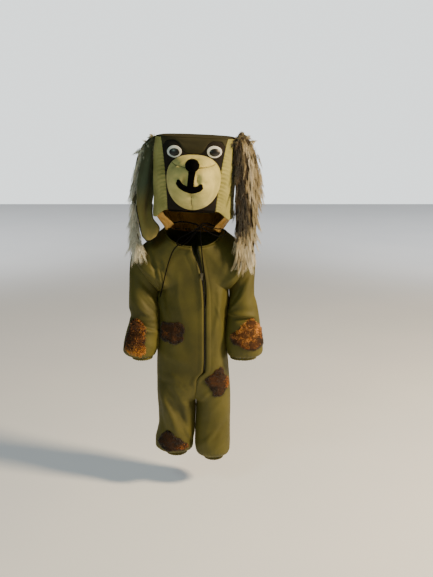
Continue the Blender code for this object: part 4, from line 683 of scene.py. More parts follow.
def suit_relief(side, face, u, row, point):
    """Outward height of the small creases and gathers on a suit panel."""
    table = FRONT_CREASES if face < 0 else BACK_CREASES
    x, z = point.x, point.z
    total = creases(table, x, z)
    total += 0.0010 * uneven(x, point.y, z * 0.6, 0.045) + 0.0004 * uneven(x, point.y, z, 0.017)
    hem = HALVES[side].rows[0][0]
    near = 1 - wave(z, hem + 0.004, hem + 0.060)
    if near > 0:
        beat = math.cos(2 * math.pi * HEM_GATHERS * u + 1.4 * math.sin(9 * u + side + face))
        total += 0.0013 * near * (0.75 + 0.25 * math.sin(23 * u)) * beat
    if face < 0 and row >= FRONT_ROW:
        away = abs(x - side * suit_edge(side, row))
        inside = wave(away, 0.0, 0.002) * (1 - wave(away, 0.0125, 0.0150))
        total += 0.0017 * inside * (1 if side < 0 else 0.6)
        total -= 0.0007 * math.exp(-((away - 0.0165) / 0.0025) ** 2)
    seam = min(u, 1 - u) if row <= NECK_ROW else 1 - u
    settle = wave(seam, 0.0, 0.09)
    neck = wave(row, NECK_ROW, NECK_ROW + 0.2) * (1 - wave(u, 0.0, 0.10))
    return total * settle * (1 - neck) if face > 0 or row < FRONT_ROW else total * (1 - neck) * (1 - wave(u, 0.9, 1.0))


def suit_edge(side, row):
    """Distance of the front panel's centre edge from x = 0, with its sign for the side."""
    inner_z = row_heights(side, -1, row)[1]
    if row > NECK_ROW:
        return 9.0
    return side * CENTRE.at("x", inner_z) + CENTRE.at("gap", inner_z)


def belly_out(side, point, normal):
    """Fullness of the loose cloth beside the sleeves and between the legs."""
    beside = max(0.0, side * normal.x) ** 3 * wave(point.z, 0.44, 0.50) * (1 - wave(point.z, 0.60, 0.64))
    between = max(0.0, -side * normal.x) ** 3 * wave(point.z, 0.16, 0.19) * (1 - wave(point.z, 0.26, 0.285))
    return 0.0024 * beside + 0.0005 * between


def dressed_suit(side, face):
    """Surface function of a suit panel with its creases."""
    def surface(u, row):
        point = suit_point(side, face, u, row, True)
        normal = suit_normal(side, face, u, row)
        rise = suit_relief(side, face, u, row, point) - gather_back(side, point)
        if CROTCH_ROW < row <= (NECK_ROW if face > 0 else FRONT_ROW):
            point.x -= side * 0.0003 * (1 - wave(u, 0.0, 0.02))
        return point + normal * (rise + belly_out(side, point, normal))
    return surface


def gather_back(side, point):
    """How far the gathered hem lies inside its crests."""
    hem = HALVES[side].rows[0][0]
    return 0.0016 * (1 - wave(point.z, hem + 0.004, hem + 0.045))


def sleeve_relief(side, turn, row, point):
    total = 0.0
    for at_row, at_turn, slant, rows, reach, height in SLEEVE_CREASES[side]:
        off = (turn - at_turn + 180) % 360 - 180
        along = (row - at_row - slant * off) / rows
        if abs(along) < 3.2 and abs(off) < reach * 2.6:
            total += height * math.exp(-along**2 - (off / reach) ** 2)
    total += 0.0009 * uneven(point.x, point.y, point.z * 0.7, 0.036)
    near = wave(row, 9.3, 11.6)
    if near > 0:
        beat = math.cos(math.radians(turn) * CUFF_GATHERS + 1.2 * math.sin(math.radians(turn) * 5 + side))
        total += 0.0012 * near * beat
    return total * wave(row, 0.0, 0.8)


def dressed_sleeve(side):
    """Surface function of a sleeve with its creases."""
    def surface(turn, row):
        point = sleeve_point(side, turn, row, True)
        normal = sleeve_normal(side, turn, row)
        inner = max(0.0, -side * normal.x) ** 3 * wave(row, 3.0, 5.0) * (1 - wave(row, 8.5, 10.5))
        return point + normal * (sleeve_relief(side, turn, row, point) + 0.0024 * inner)
    return surface


# Hood pieces, as turn and height on the hood's wall

def forehead_place(u, v):
    wide = seam_turn(1.085, -HALF_SEAM)
    turn = wide + (180 - 2 * wide) * u
    low = forehead_edge(turn) + HALF_SEAM
    z = low + (HOOD_TOP - low) * v
    edge = seam_turn(z, -HALF_SEAM)
    return edge + (180 - 2 * edge) * u, z


def mask_place(u, v):
    wide = seam_turn(1.085, -HALF_SEAM)
    top = forehead_edge(wide + (180 - 2 * wide) * u) - HALF_SEAM
    z = MASK_BOTTOM + (top - MASK_BOTTOM) * v
    edge = seam_turn(z, -HALF_SEAM)
    return edge + (180 - 2 * edge) * u, z


def right_cheek_place(u, v):
    low = BRIM + (MASK_BOTTOM - BRIM) * (1 - wave(u, 0.0, 0.42))
    z = low + (HOOD_TOP - low) * v
    start = seam_turn(z, HALF_SEAM)
    return start + (CHEEK_TURN + 0.2 - start) * u, z


def left_cheek_place(u, v):
    turn, z = right_cheek_place(u, v)
    return 180 - turn, z


def back_place(u, v):
    return CHEEK_TURN - 0.2 + (-180 - 2 * (CHEEK_TURN - 0.2)) * u, BRIM + (HOOD_TOP - BRIM) * v


def cheek_relief(u, v):
    """Gathers that start at the cheek's inner seam, and the soft padding between the seams."""
    pucker = math.cos(2 * math.pi * (21 * v + 0.6 * math.sin(7 * v)))
    fade = math.exp(-u / 0.12) * (0.35 + 0.65 * math.sin(math.pi * min(1.0, v * 1.05)) ** 2)
    padding = wave(u, 0.0, 0.22) * (1 - wave(u, 0.9, 1.0)) * wave(v, 0.0, 0.06)
    sag = 0.0012 * uneven(u * 0.2, 0.3, v * 0.24, 0.05)
    return 0.0026 * fade * pucker + 0.0022 * padding + sag


def plain_relief(u, v):
    """Soft padding of a hood piece between its seams."""
    edge = min(wave(u, 0.0, 0.12), 1 - wave(u, 0.88, 1.0), wave(v, 0.0, 0.25), 1 - wave(v, 0.85, 1.0))
    return 0.0014 * edge + 0.0007 * uneven(u * 0.3, 0.7, v * 0.2, 0.05)


def back_relief(u, v):
    """Soft upright folds of the hood's back."""
    folds = 0.0016 * math.sin(2 * math.pi * (3.4 * u + 0.3 * math.sin(4 * v))) * (1 - v) ** 0.6
    return folds * wave(u, 0.0, 0.1) * (1 - wave(u, 0.9, 1.0)) + plain_relief(u, v)


# Mesh making

def lowered(points):
    """Points in the frame, whose origin is the middle of the neck."""
    return [(p.x, p.y, p.z - NECK_HEIGHT) for p in points]


def new_mesh(name, points, faces, material, uv=None):
    """Mesh object at the origin from points in the frame, faces, and uv for each point."""
    mesh = bpy.data.meshes.new(name)
    mesh.from_pydata(points, [], faces)
    if uv is not None:
        layer = mesh.uv_layers.new(name="Cloth")
        index = np.empty(len(mesh.loops), dtype=np.int32)
        mesh.loops.foreach_get("vertex_index", index)
        layer.data.foreach_set("uv", np.asarray(uv, dtype=np.float32)[index].ravel())
    mesh.shade_smooth()
    mesh.materials.append(finish(material))
    item = bpy.data.objects.new(name, mesh)
    bpy.context.scene.collection.objects.link(item)
    return item


def grid_faces(width, rows, closed=True):
    """Faces between rows of points of the same width; closed rows join their ends."""
    return [(j + i, j + (i + 1) % width, j + width + (i + 1) % width, j + width + i)
            for j in range(0, rows * width, width) for i in range(width if closed else width - 1)]


def disc_faces(around, rings):
    """Faces of a disc: a fan about point 0, then rings of points."""
    faces = [(0, 1 + k, 1 + (k + 1) % around) for k in range(around)]
    for start in range(1, 1 + (rings - 1) * around, around):
        for k in range(around):
            m = (k + 1) % around
            faces.append((start + k, start + around + k, start + around + m, start + m))
    return faces


def lens(name, outer, inner, around, uv, middle, material):
    """Closed round piece from an outer and an inner disc of points."""
    total = len(outer)
    rim = total - around
    faces = disc_faces(around, rim // around + 1)
    faces += [tuple(i + total for i in reversed(face)) for face in faces]
    for k in range(around):
        m = (k + 1) % around
        faces.append((rim + k, rim + k + total, rim + m + total, rim + m))
    item = new_mesh(name, lowered(outer + inner), faces, material, uv + uv)
    face_outwards(item, middle)
    return item


def grid_uv(points, width):
    """Lengths along the cloth in metres, across and up, for each point of a grid."""
    net = np.array(points).reshape(-1, width, 3)
    across = np.linalg.norm(np.diff(net, axis=1), axis=2).mean(axis=0)
    upward = np.linalg.norm(np.diff(net, axis=0), axis=2).mean(axis=1)
    u, v = (np.concatenate(([0.0], np.cumsum(lengths))) for lengths in (across, upward))
    return np.stack(np.meshgrid(u, v), axis=-1).reshape(-1, 2)


def face_outwards(item, hint):
    """Turn all faces over if they look against the hint, a point inside or a direction."""
    mesh = item.data
    total = 0.0
    for polygon in list(mesh.polygons)[::7]:
        way = hint if isinstance(hint, Vector) else polygon.center - Vector(hint)
        total += polygon.normal.dot(way.normalized()) * polygon.area
    if total < 0:
        mesh.flip_normals()


def thicken(item, name, thickness, offset):
    wall = item.modifiers.new(name, "SOLIDIFY")
    wall.thickness = thickness
    wall.offset = offset


def shell(name, surface, us, vs, material, thickness, closed=False, hint=(0.0, 0.0, -0.3)):
    """Cloth shell over a grid of a surface function; its thickness goes inward."""
    points = lowered([surface(u, v) for v in vs for u in us])
    faces = grid_faces(len(us), len(vs) - 1, closed)
    item = new_mesh(name, points, faces, material, grid_uv(points, len(us)))
    face_outwards(item, hint)
    thicken(item, "Cloth", thickness, -1.0)
    return item


def steps(start, stop, count):
    return [start + (stop - start) * k / count for k in range(count + 1)]


def tube(name, centres, radius, sides, material, twist=0.0, ply=0, depth=0.0):
    """Tube along points; ply and twist lay its surface like a laid cord."""
    points, uv = [], []
    across, length = None, 0.0
    last = len(centres) - 1
    for number, centre in enumerate(centres):
        before = centres[max(0, number - 1)]
        along = (centres[min(last, number + 1)] - before).normalized()
        if across is None:
            across = along.cross(Vector((0.3, 0.1, 1.0)))
        across = (across - along * across.dot(along)).normalized()
        other = along.cross(across)
        length += (centre - before).length
        size = radius(number / last) if callable(radius) else radius
        for k in range(sides):
            turn = 2 * math.pi * k / sides
            swell = 1.0 - depth * (0.5 - 0.5 * math.cos(ply * (turn - twist * length)))
            points.append(centre + (across * math.cos(turn) + other * math.sin(turn)) * size * swell)
            uv.append((k / sides, length))
    end = last * sides
    faces = grid_faces(sides, last) + [tuple(range(sides))[::-1], tuple(range(end, end + sides))]
    return new_mesh(name, lowered(points), faces, material, uv)


def join_boxes(name, places, size, material):
    """Many small rounded pieces as one mesh: places hold a middle, a way along and a way out."""
    points, faces = [], []
    pattern = grid_faces(4, 3) + [(3, 2, 1, 0), (12, 13, 14, 15)]
    half = Vector(size) / 2
    for centre, along, out in places:
        along = along.normalized()
        side = out.cross(along).normalized()
        out = along.cross(side)
        faces += [tuple(len(points) + i for i in face) for face in pattern]
        for a, shrink in ((-1.0, 0.6), (-0.6, 1.0), (0.6, 1.0), (1.0, 0.6)):
            for s, o in ((-1, 0), (-0.5, 1), (0.5, 1), (1, 0)):
                points.append(centre + along * half.x * a + side * half.y * s * shrink + out * half.z * o * shrink)
    return new_mesh(name, lowered(points), faces, material)


def strands(name, hairs, material, droop, curl, seed):
    """Hairs (root, way, side, length, width, tone) as tapered strands; uv is tone and place along the strand."""
    rng = np.random.default_rng(seed)
    roots, ways, sides, lengths, widths, tones = (np.array(part, dtype=float) for part in zip(*hairs))
    count = len(roots)
    ways /= np.linalg.norm(ways, axis=1)[:, None]
    sides -= ways * (sides * ways).sum(axis=1)[:, None]
    sides /= np.linalg.norm(sides, axis=1)[:, None]
    others = np.cross(ways, sides)
    phase = rng.uniform(0, 2 * math.pi, count)
    beats = rng.uniform(0.8, 1.7, count)
    points, uv = [], []
    for s in (0.0, 0.3, 0.6, 0.85, 1.0):
        middle = roots + ways * (lengths * s)[:, None]
        middle[:, 2] -= droop * lengths * s * s
        sway = curl * lengths * s * np.sin(phase + 2 * math.pi * beats * s)
        middle += sides * sway[:, None]
        size = widths * (1.0 - s) ** 0.7
        for k in range(3 if s < 1 else 1):
            turn = 2 * math.pi * k / 3
            points.append(middle + sides * (size * math.cos(turn))[:, None]
                          + others * (size * math.sin(turn))[:, None])
            uv.append(np.stack([tones, np.full(count, s)], axis=1))
    points, uv = np.stack(points, axis=1), np.stack(uv, axis=1)
    tip = points.shape[1] - 1
    pattern = grid_faces(3, 3) + [(9 + k, 9 + (k + 1) % 3, tip) for k in range(3)]
    faces = [tuple(base + i for i in face) for base in range(0, count * (tip + 1), tip + 1) for face in pattern]
    flat = points.reshape(-1, 3)
    flat[:, 2] -= NECK_HEIGHT
    return new_mesh(name, flat.tolist(), faces, material, uv.reshape(-1, 2))


# Materials

def linear(code):
    """Linear colour of an sRGB hex code."""
    parts = [int(code[i:i + 2], 16) / 255 for i in (1, 3, 5)]
    return tuple(c / 12.92 if c <= 0.04045 else ((c + 0.055) / 1.055) ** 2.4 for c in parts) + (1.0,)


def add_node(tree, kind, settings=None, links=None):
    """Add a shader node with its settings and the links into its sockets."""
    item = tree.nodes.new("ShaderNode" + kind)
    for key, value in (settings or {}).items():
        if isinstance(key, int) or key in item.inputs.keys():
            item.inputs[key].default_value = value
        else:
            setattr(item, key, value)
    for key, source in (links or {}).items():
        tree.links.new(source, item.inputs[key])
    return item


def new_material(name, source="TexCoord", settings=None):
    """Material with its shader, its tree and the sockets of its coordinates."""
    material = bpy.data.materials.new(name)
    material.use_nodes = True
    return material, material.node_tree, add_node(material.node_tree, source, settings).outputs


def toned(code):
    """Linear colour of a hex code, or of one of the panel's colours."""
    return linear(code) if code.startswith("#") else tuple(getattr(bpy.context.scene.costume_dyes, code))


def ramp(tree, factor, *stops):
    """Colour ramp through stops, each a place and a hex code or dye."""
    item = add_node(tree, "ValToRGB", links={"Fac": factor})
    elements = item.color_ramp.elements
    while len(elements) < len(stops):
        elements.new(0.5)
    for element, (place, code) in zip(elements, stops):
        element.position = place
        element.color = toned(code)
    return item.outputs["Color"]


def noise_over(tree, place, scale, detail, **settings):
    """Noise over coordinates."""
    settings = {"Scale": scale, "Detail": detail, **settings}
    return add_node(tree, "TexNoise", settings, {"Vector": place}).outputs["Fac"]


def spread(tree, value, **limits):
    """A value moved from one range to another; the limits are FromMin, FromMax, ToMin and ToMax."""
    limits = {key.replace("M", " M"): limit for key, limit in limits.items()}
    return add_node(tree, "MapRange", limits, {"Value": value}).outputs["Result"]


def multiplied(tree, share, colour, by):
    """A colour multiplied by another one, by a share."""
    settings = {"data_type": "RGBA", "blend_type": "MULTIPLY", 0: share}
    return add_node(tree, "Mix", settings, {6: colour, 7: by}).outputs[2]


def shade(material, links, values, height=None, strength=0.0, depth=0.0):
    """Give the shader its links, its bump and its constants."""
    tree = material.node_tree
    shader = tree.nodes["Principled BSDF"]
    if height is not None:
        bump = add_node(tree, "Bump", {"Strength": strength, "Distance": depth}, {"Height": height})
        links["Normal"] = bump.outputs["Normal"]
    for key, source in links.items():
        tree.links.new(source, shader.inputs[key])
    for key, value in values.items():
        shader.inputs[key].default_value = value
    return material


def soft(rough, sheen, spread_of_sheen, sheen_code, specular):
    """Shader constants of a cloth."""
    return {"Roughness": rough, "Sheen Weight": sheen, "Sheen Roughness": spread_of_sheen,
            "Sheen Tint": linear(sheen_code), "Specular IOR Level": specular}


def woven(name, dark, light, rough, sheen, sheen_code, thread, blotch=9.0, weave=0.12, specular=0.35):
    """Dyed cloth: a slightly uneven colour, which in the neck section's tan is partly painted warm light, a weave from
    the cloth's own lengths, and a soft sheen.
    """
    material, tree, place = new_material(name)
    cloth_colour = ramp(tree, noise_over(tree, place["Object"], blotch, 4.0, Roughness=0.55), (0.3, dark), (0.7, light))
    lengths = add_node(tree, "UVMap", {"uv_map": "Cloth"}).outputs["UV"]
    warp, weft = (add_node(tree, "TexWave", {"wave_type": "BANDS", "bands_direction": axis, "Detail": 1.0,
                                             "Scale": 0.314 / thread, "Distortion": 0.6},
                           {"Vector": lengths}).outputs["Fac"] for axis in "XY")
    crossing = add_node(tree, "Math", {"operation": "MULTIPLY"}, {0: warp, 1: weft}).outputs["Value"]
    height = add_node(tree, "Math", {"operation": "MULTIPLY_ADD", 1: 0.6},
                      {0: crossing, 2: noise_over(tree, place["Object"], 420.0, 2.0)}).outputs["Value"]
    return shade(material, {"Base Color": multiplied(tree, 0.16, cloth_colour, crossing)},
                 soft(rough, sheen, 0.45, sheen_code, specular), height, weave, 0.0006)


def pile(name, dark, light, rough, sheen, sheen_code, size, depth, blotch=22.0, specular=0.3):
    """Napped cloth: colour that varies with the lie of the pile, and a fine soft grain."""
    material, tree, place = new_material(name)
    lie = noise_over(tree, place["Object"], blotch, 5.0, Roughness=0.6, Distortion=0.4)
    grain = noise_over(tree, place["Object"], 1.0 / size, 3.0, Roughness=0.65)
    both = add_node(tree, "Math", {"operation": "MULTIPLY_ADD", 1: 0.35, 2: -0.17}, {0: grain})
    total = add_node(tree, "Math", {"operation": "ADD"}, {0: lie, 1: both.outputs["Value"]})
    cloth_colour = ramp(tree, total.outputs["Value"], (0.3, dark), (0.7, light))
    return shade(material, {"Base Color": cloth_colour}, soft(rough, sheen, 0.4, sheen_code, specular), grain, 0.7, depth)


def hair(name, rough, sheen, *stops):
    """Fibres: each strand has its own tone, darker at the root."""
    material, tree, strand = new_material(name, "UVMap", {"uv_map": "Cloth"})
    parts = add_node(tree, "SeparateXYZ", links={"Vector": strand["UV"]}).outputs
    root = spread(tree, parts["Y"], FromMin=0.0, FromMax=0.5, ToMin=0.65, ToMax=1.0)
    colour = multiplied(tree, 1.0, ramp(tree, parts["X"], *stops), root)
    return shade(material, {"Base Color": colour},
                 {"Roughness": rough, "Sheen Weight": sheen, "Specular IOR Level": sheen})


def plain(name, code, rough, metallic, coat, grain, size):
    """Moulded or plated finish with a fine grain and a little wear."""
    material, tree, place = new_material(name)
    wear = noise_over(tree, place["Object"], 1.0 / size, 3.0)
    return shade(material, {"Roughness": spread(tree, wear, ToMin=max(0.02, rough - 0.08), ToMax=rough + 0.10)},
                 {"Base Color": linear(code), "Metallic": metallic, "Coat Weight": coat}, wear, grain, 0.0003)


def lining(name, high, low):
    """Brushed cotton whose colour goes from painted shade near the hood to its own olive-brown down the ear, with a
    soft edge.
    """
    material, tree, place = new_material(name)
    parts = add_node(tree, "SeparateXYZ", links={"Vector": place["Object"]})
    wander = noise_over(tree, place["Object"], 26.0, 4.0)
    shift = add_node(tree, "Math", {"operation": "MULTIPLY_ADD", 1: 0.05}, {0: wander, 2: parts.outputs["Z"]})
    # down is 1 near the hood, where the top colour is painted shade, and 0 towards the tip
    down = spread(tree, shift.outputs["Value"], FromMin=0.105, FromMax=0.185)
    tone = add_node(tree, "Mix", {"data_type": "RGBA", 6: toned(low), 7: toned(high)}, {0: down}).outputs[2]
    colour = multiplied(tree, 1.0, tone, spread(tree, wander, ToMin=0.75, ToMax=1.2))
    return shade(material, {"Base Color": colour},
                 {"Roughness": 0.85, "Sheen Weight": 0.25, "Sheen Roughness": 0.45},
                 noise_over(tree, place["Object"], 700.0, 2.0), 0.4, 0.0006)


FINISHES = {}


def finish(name):
    """Material by its own name, made at first use."""
    if name not in FINISHES:
        maker, *settings = MATERIALS[name]
        FINISHES[name] = maker(name, *settings)
    return FINISHES[name]


MATERIALS = {
    # Light cotton poplin, piece-dyed: a fine weave with a soft sheen on the folds
    "olive_poplin": (woven, "olive_dark", "olive_light", 0.66, 0.12, "#8f8330", 0.0009),
    # Cotton twill with a brushed face: dark and matt
    "dark_olive_twill": (woven, "top_dark", "top_light", 0.88, 0.06, "#5c5a3c", 0.0011, 14.0),
    # Brushed cotton, chocolate: nearly black in the shade
    "brown_brushed_cotton": (woven, "mask_dark", "mask_light", 0.90, 0.05, "#4a3826", 0.0010, 16.0),
    # Satin-faced lining, a lighter shade of the olive cloth, painted tan for the warm light on it: its pleats catch
    # the light
    "tan_sateen": (woven, "tan_dark", "tan_light", 0.55, 0.35, "#f0d59a", 0.0008, 20.0),
    # Cotton tape, black: a tight rib
    "black_cotton_tape": (woven, "#050505", "#0c0b0a", 0.90, 0.02, "#2a2826", 0.0007, 40.0, 0.2, 0.12),
    # Polyester tape of the zip: a close herringbone
    "zip_tape_polyester": (woven, "#060606", "#0f0e0c", 0.80, 0.02, "#2f2d2a", 0.0006, 60.0, 0.2, 0.15),
    # Panne velour: short nap that lies this way and that, so its tone wanders
    "sage_velour": (pile, "sage_dark", "sage_light", 0.82, 0.25, "#d6cf98", 0.0011, 0.0008, 17.0),
    "olive_velour": (pile, "cheek_dark", "cheek_light", 0.84, 0.20, "#b5ab6c", 0.0011, 0.0008, 21.0),
    # Ear lining: brushed cotton, olive-brown below; the green-black above is painted shade
    "ear_lining_cotton": (lining, "lining_high", "lining_low"),
    # Wool felt: matted fibres, no weave, and the loose fibres of its edge
    "black_wool_felt": (pile, "#020202", "#070606", 0.98, 0.01, "#1c1a19", 0.0006, 0.0005, 60.0, 0.05),
    "black_wool_fibres": (hair, 0.95, 0.02, (0.0, "#020202"), (1.0, "#0b0a0a")),
    # Curly plush: crushed polyester tufts over their knitted ground, brown with orange and gold curls that are partly
    # their colour and partly painted highlight of the crushed pile
    "curly_plush_ground": (pile, "plush_brown", "plush_orange", 0.9, 0.1, "#8a5a34", 0.0016, 0.0016, 42.0),
    "curly_plush_tufts": (hair, 0.55, 0.25, (0.0, "#0f0a07"), (0.25, "#2c1a0e"), (0.45, "#5a3a12"),
                          (0.65, "#b0661a"), (1.0, "#eaa444")),
    # Acrylic fur: long, with its own sheen along each hair, on a knitted backing
    "acrylic_fur": (hair, 0.5, 0.25, (0.0, "#1d1a14"), (0.18, "#2b261c"), (0.38, "#857a5e"), (0.58, "#b5a884"),
                    (0.80, "#dcd3b8"), (1.0, "#eee9dc")),
    "grey_acrylic_fur": (hair, 0.5, 0.25, (0.0, "#3a3b2e"), (0.25, "#74735c"), (0.5, "#b0ad94"),
                         (0.75, "#d6d3be"), (1.0, "#efede2")),
    "fur_knit_backing": (pile, "#1c1811", "#2e261a", 0.95, 0.1, "#6b5a40", 0.0012, 0.0008, 30.0),
    "grey_knit_backing": (pile, "#4a4838", "#6b6850", 0.95, 0.1, "#77745f", 0.0012, 0.0008, 30.0),
    # Vinyl, silver-white: a soft mould gloss
    "white_vinyl": (plain, "#cfd3d4", 0.38, 0.0, 0.15, 0.15, 0.0022),
    # Vinyl, charcoal: domed, with a clear gloss
    "charcoal_vinyl": (plain, "#111316", 0.36, 0.0, 0.10, 0.10, 0.0018),
    # Polyester braid: a round cord whose plies cross
    "braided_cord": (woven, "#030303", "#080707", 0.85, 0.02, "#211f1d", 0.0010, 80.0, 0.35, 0.10),
    # Nickel-plated zinc: satin, a little scratched
    "nickel_plate": (plain, "#77725f", 0.34, 1.0, 0.0, 0.12, 0.0010),
    # Nylon coil
    "zip_nylon": (plain, "#141312", 0.42, 0.0, 0.1, 0.1, 0.0008),
    # Polyester thread; the dark one also draws the lines along the muzzle's seams, which are painted shade
    "dark_thread": (plain, "#2b2812", 0.70, 0.0, 0.0, 0.2, 0.0006),
    "black_thread": (plain, "#100f0e", 0.70, 0.0, 0.0, 0.2, 0.0006),
}


def sizes():
    return bpy.context.scene.costume_sizes


def dress(item, slot, *nodes):
    """A finished piece rides on the costume and stands for its CAD nodes; the slot is not used."""
    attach(item, BODY)
    if nodes:
        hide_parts(*nodes)
    return item


# Surfaces of the hood, the muzzle, the neck and the ears

def hood_surface(place, relief):
    """Surface function of a hood piece: its place on the wall, moved out by its relief."""
    def flat(u, v):
        turn, z = place(u, v)
        return hood_local(turn, z)

    def surface(u, v):
        point = flat(u, v)
        normal = normal_of(flat, u, v, Vector((point.x, point.y, 0.0)))
        normal = in_plane(normal, Vector((0, 0, 1)))
        return hood_place(point + normal * relief(u, v))
    return surface


def on_hood(x, z, lift):
    """Point over the hood's front wall."""
    return hood_place(hood_front(x, z) + hood_normal(x, z) * lift)


def muzzle_relief(turn, share, first, last):
    """Padding between the seams, pulled in at them, with small puckers that run out from the seams."""
    near = min(turn - first, last - turn)
    seam = math.exp(-(near * share / 2.2) ** 2)
    broad = math.exp(-(near * share / 10.0) ** 2)
    pucker = math.cos(share * 46 + 1.7 * math.sin(share * 19 + first)) * math.exp(-near * share / 9.0)
    edge = wave(share, 0.88, 1.0)
    sag = uneven(turn / 60, share * 1.4, first / 90, 0.45)
    return (-0.0034 * seam - 0.0030 * broad + 0.0015 * pucker * wave(share, 0.2, 0.5) + 0.0014 * sag) * (1 - edge)


def muzzle_dents(x, z):
    """Hollows beside the felt strip and over the smile's ends, where stitching draws the padding in."""
    total = 0.0
    for x0, z0, wide, tall, deep in ((NOSE_X - 0.019, 0.988, 0.008, 0.017, 0.0080),
                                     (NOSE_X + 0.018, 0.988, 0.008, 0.017, 0.0080),
                                     (-0.040, 0.992, 0.007, 0.006, 0.0036), (0.041, 0.980, 0.007, 0.006, 0.0036),
                                     (NOSE_X, 0.946, 0.012, 0.007, 0.0036)):
        total += deep * math.exp(-((x - x0) / wide) ** 2 - ((z - z0) / tall) ** 2)
    return -total


def muzzle_surface(first, last):
    def surface(u, v):
        turn = first + (last - first) * u
        share = math.sin(math.pi / 2 * (0.08 + 0.92 * v))
        cos_turn, sin_turn = polar_turn(turn)
        reach = muzzle_edge(turn) * share
        x, z = NOSE_X + reach * cos_turn, NOSE_Z + reach * sin_turn
        point = muzzle_front(x, z)
        if v > 0.985:
            return hood_place(point)
        way = muzzle_normal(x, z)
        return hood_place(point + way * (muzzle_relief(turn, share, first, last) + muzzle_dents(x, z)))
    return surface


def over_muzzle(x, z, lift):
    """Point over the dressed muzzle."""
    rise = muzzle_dents(x, z)
    return hood_place(muzzle_front(x, z) + muzzle_normal(x, z) * (lift + rise * 0.6))


def dressed_funnel(u, v):
    """Neck section with its fine pleats, drawn together at the string."""
    first, last = FUNNEL_OPEN[1], 360 + FUNNEL_OPEN[0]
    turn = first + (last - first) * u
    point = funnel_point(turn, v)
    away = Vector((point.x, point.y, 0.0)).normalized()
    angle = math.radians(turn)
    fine = math.cos(angle * 44 + 1.5 * math.sin(angle * 7)) * (0.0006 + 0.0017 * v)
    broad = math.cos(angle * 17 + math.sin(angle * 5)) * 0.0034 * math.sin(math.pi * v)
    belly = 0.0036 * math.sin(math.pi * v)
    hem = 0.0008 * math.exp(-((v - 0.93) / 0.03) ** 2)
    settle = wave(v, 0.0, 0.1)
    drop = Vector((0.0, 0.0, -0.010 * v * v * (1 - wave(math.sin(angle), 0.35, 0.85))))
    return hood_place(point + drop + away * ((fine + broad + belly + hem) * settle))


def dressed_ear(table, bend, curl):
    """Ear lining: soft vertical folds and an edge that curls."""
    def surface(u, z):
        point = ear_point(table, u, z, bend)
        normal = normal_of(lambda a, b: ear_point(table, a, b, bend), u, z, Vector((0.0, -1.0, 0.0)))
        low, high = table.rows[0][0], table.rows[-1][0]
        share = (z - low) / (high - low)
        fold = 0.0022 * math.sin(2 * math.pi * (1.6 * u + 0.7 * share)) * math.sin(math.pi * share) ** 0.5
        lip = curl * (math.exp(-u / 0.10) + math.exp(-(1 - u) / 0.10)) * math.sin(math.pi * min(1, share * 1.2))
        return point + normal * (fold + lip + 0.0008 * uneven(u * 0.1, 0.2, z, 0.03))
    return surface


# Pieces

def length(name, description, default, least, most):
    return bpy.props.FloatProperty(name=name, description=description, default=default, min=least, max=most,
                                   unit="LENGTH", precision=4)


class CostumeSizes(bpy.types.PropertyGroup):
    """Sizes of the costume's cloth, fur and cord."""
    cloth: length("Suit cloth", "Thickness of the suit's cloth", CLOTH_SHELL, 0.0003, 0.0015)
    foam: length("Hood wall", "Thickness of the foam-backed hood", FOAM, 0.001, 0.004)
    cord: length("Drawstring", "Diameter of the drawstring", CORD_DIAMETER, 0.002, 0.005)
    hair: length("Fur length", "Length of the ears' longest hair", 0.055, 0.01, 0.07)
    tuft: length("Plush pile", "Length of the spots' curly tufts", 0.0075, 0.002, 0.010)
    locks: bpy.props.IntProperty(name="Locks an ear", description="Locks of hair on each ear", default=190,
                                 min=20, max=260)


def colour(code, name, description):
    return bpy.props.FloatVectorProperty(name=name, description=description, subtype="COLOR", size=4, min=0.0,
                                         max=1.0, default=linear(code))


class CostumeColours(bpy.types.PropertyGroup):
    """Colours of the costume's cloths, mostly dyes; the ear lining's top is painted shade, and the neck section's tan
    and the spots' orange are partly painted light. Each cloth wanders between a darker and a lighter one.
    """
    olive_dark: colour("#434115", "Suit, dark", "Olive poplin where the dye is deepest")
    olive_light: colour("#5c5820", "Suit, light", "Olive poplin where the dye is palest")
    top_dark: colour("#2b2917", "Hood top, dark", "Dark olive twill")
    top_light: colour("#3a3720", "Hood top, light", "Dark olive twill")
    mask_dark: colour("#0e0a06", "Mask, dark", "Chocolate cotton of the face")
    mask_light: colour("#1b130b", "Mask, light", "Chocolate cotton of the face")
    # The neck section's tan is painted warm light on a lighter olive cloth
    tan_dark: colour("#9f742c", "Neck, dark", "Tan sateen of the neck section")
    tan_light: colour("#cfa050", "Neck, light", "Tan sateen of the neck section")
    sage_dark: colour("#959258", "Muzzle, dark", "Sage velour of the muzzle")
    sage_light: colour("#c8bf7c", "Muzzle, light", "Sage velour of the muzzle")
    cheek_dark: colour("#7a7a45", "Cheeks, dark", "Olive velour of the cheeks")
    cheek_light: colour("#a09c62", "Cheeks, light", "Olive velour of the cheeks")
    # The lining's top colour is painted shade over its olive-brown
    lining_high: colour("#515c48", "Ear lining, top", "Lining near the hood")
    lining_low: colour("#82763f", "Ear lining, tip", "Lining near the tip")
    plush_brown: colour("#17110a", "Spots, brown", "Curly plush, brown parts")
    # Orange: partly the plush's colour, partly painted highlight of its crushed pile
    plush_orange: colour("#4d2c10", "Spots, orange", "Curly plush, orange parts")


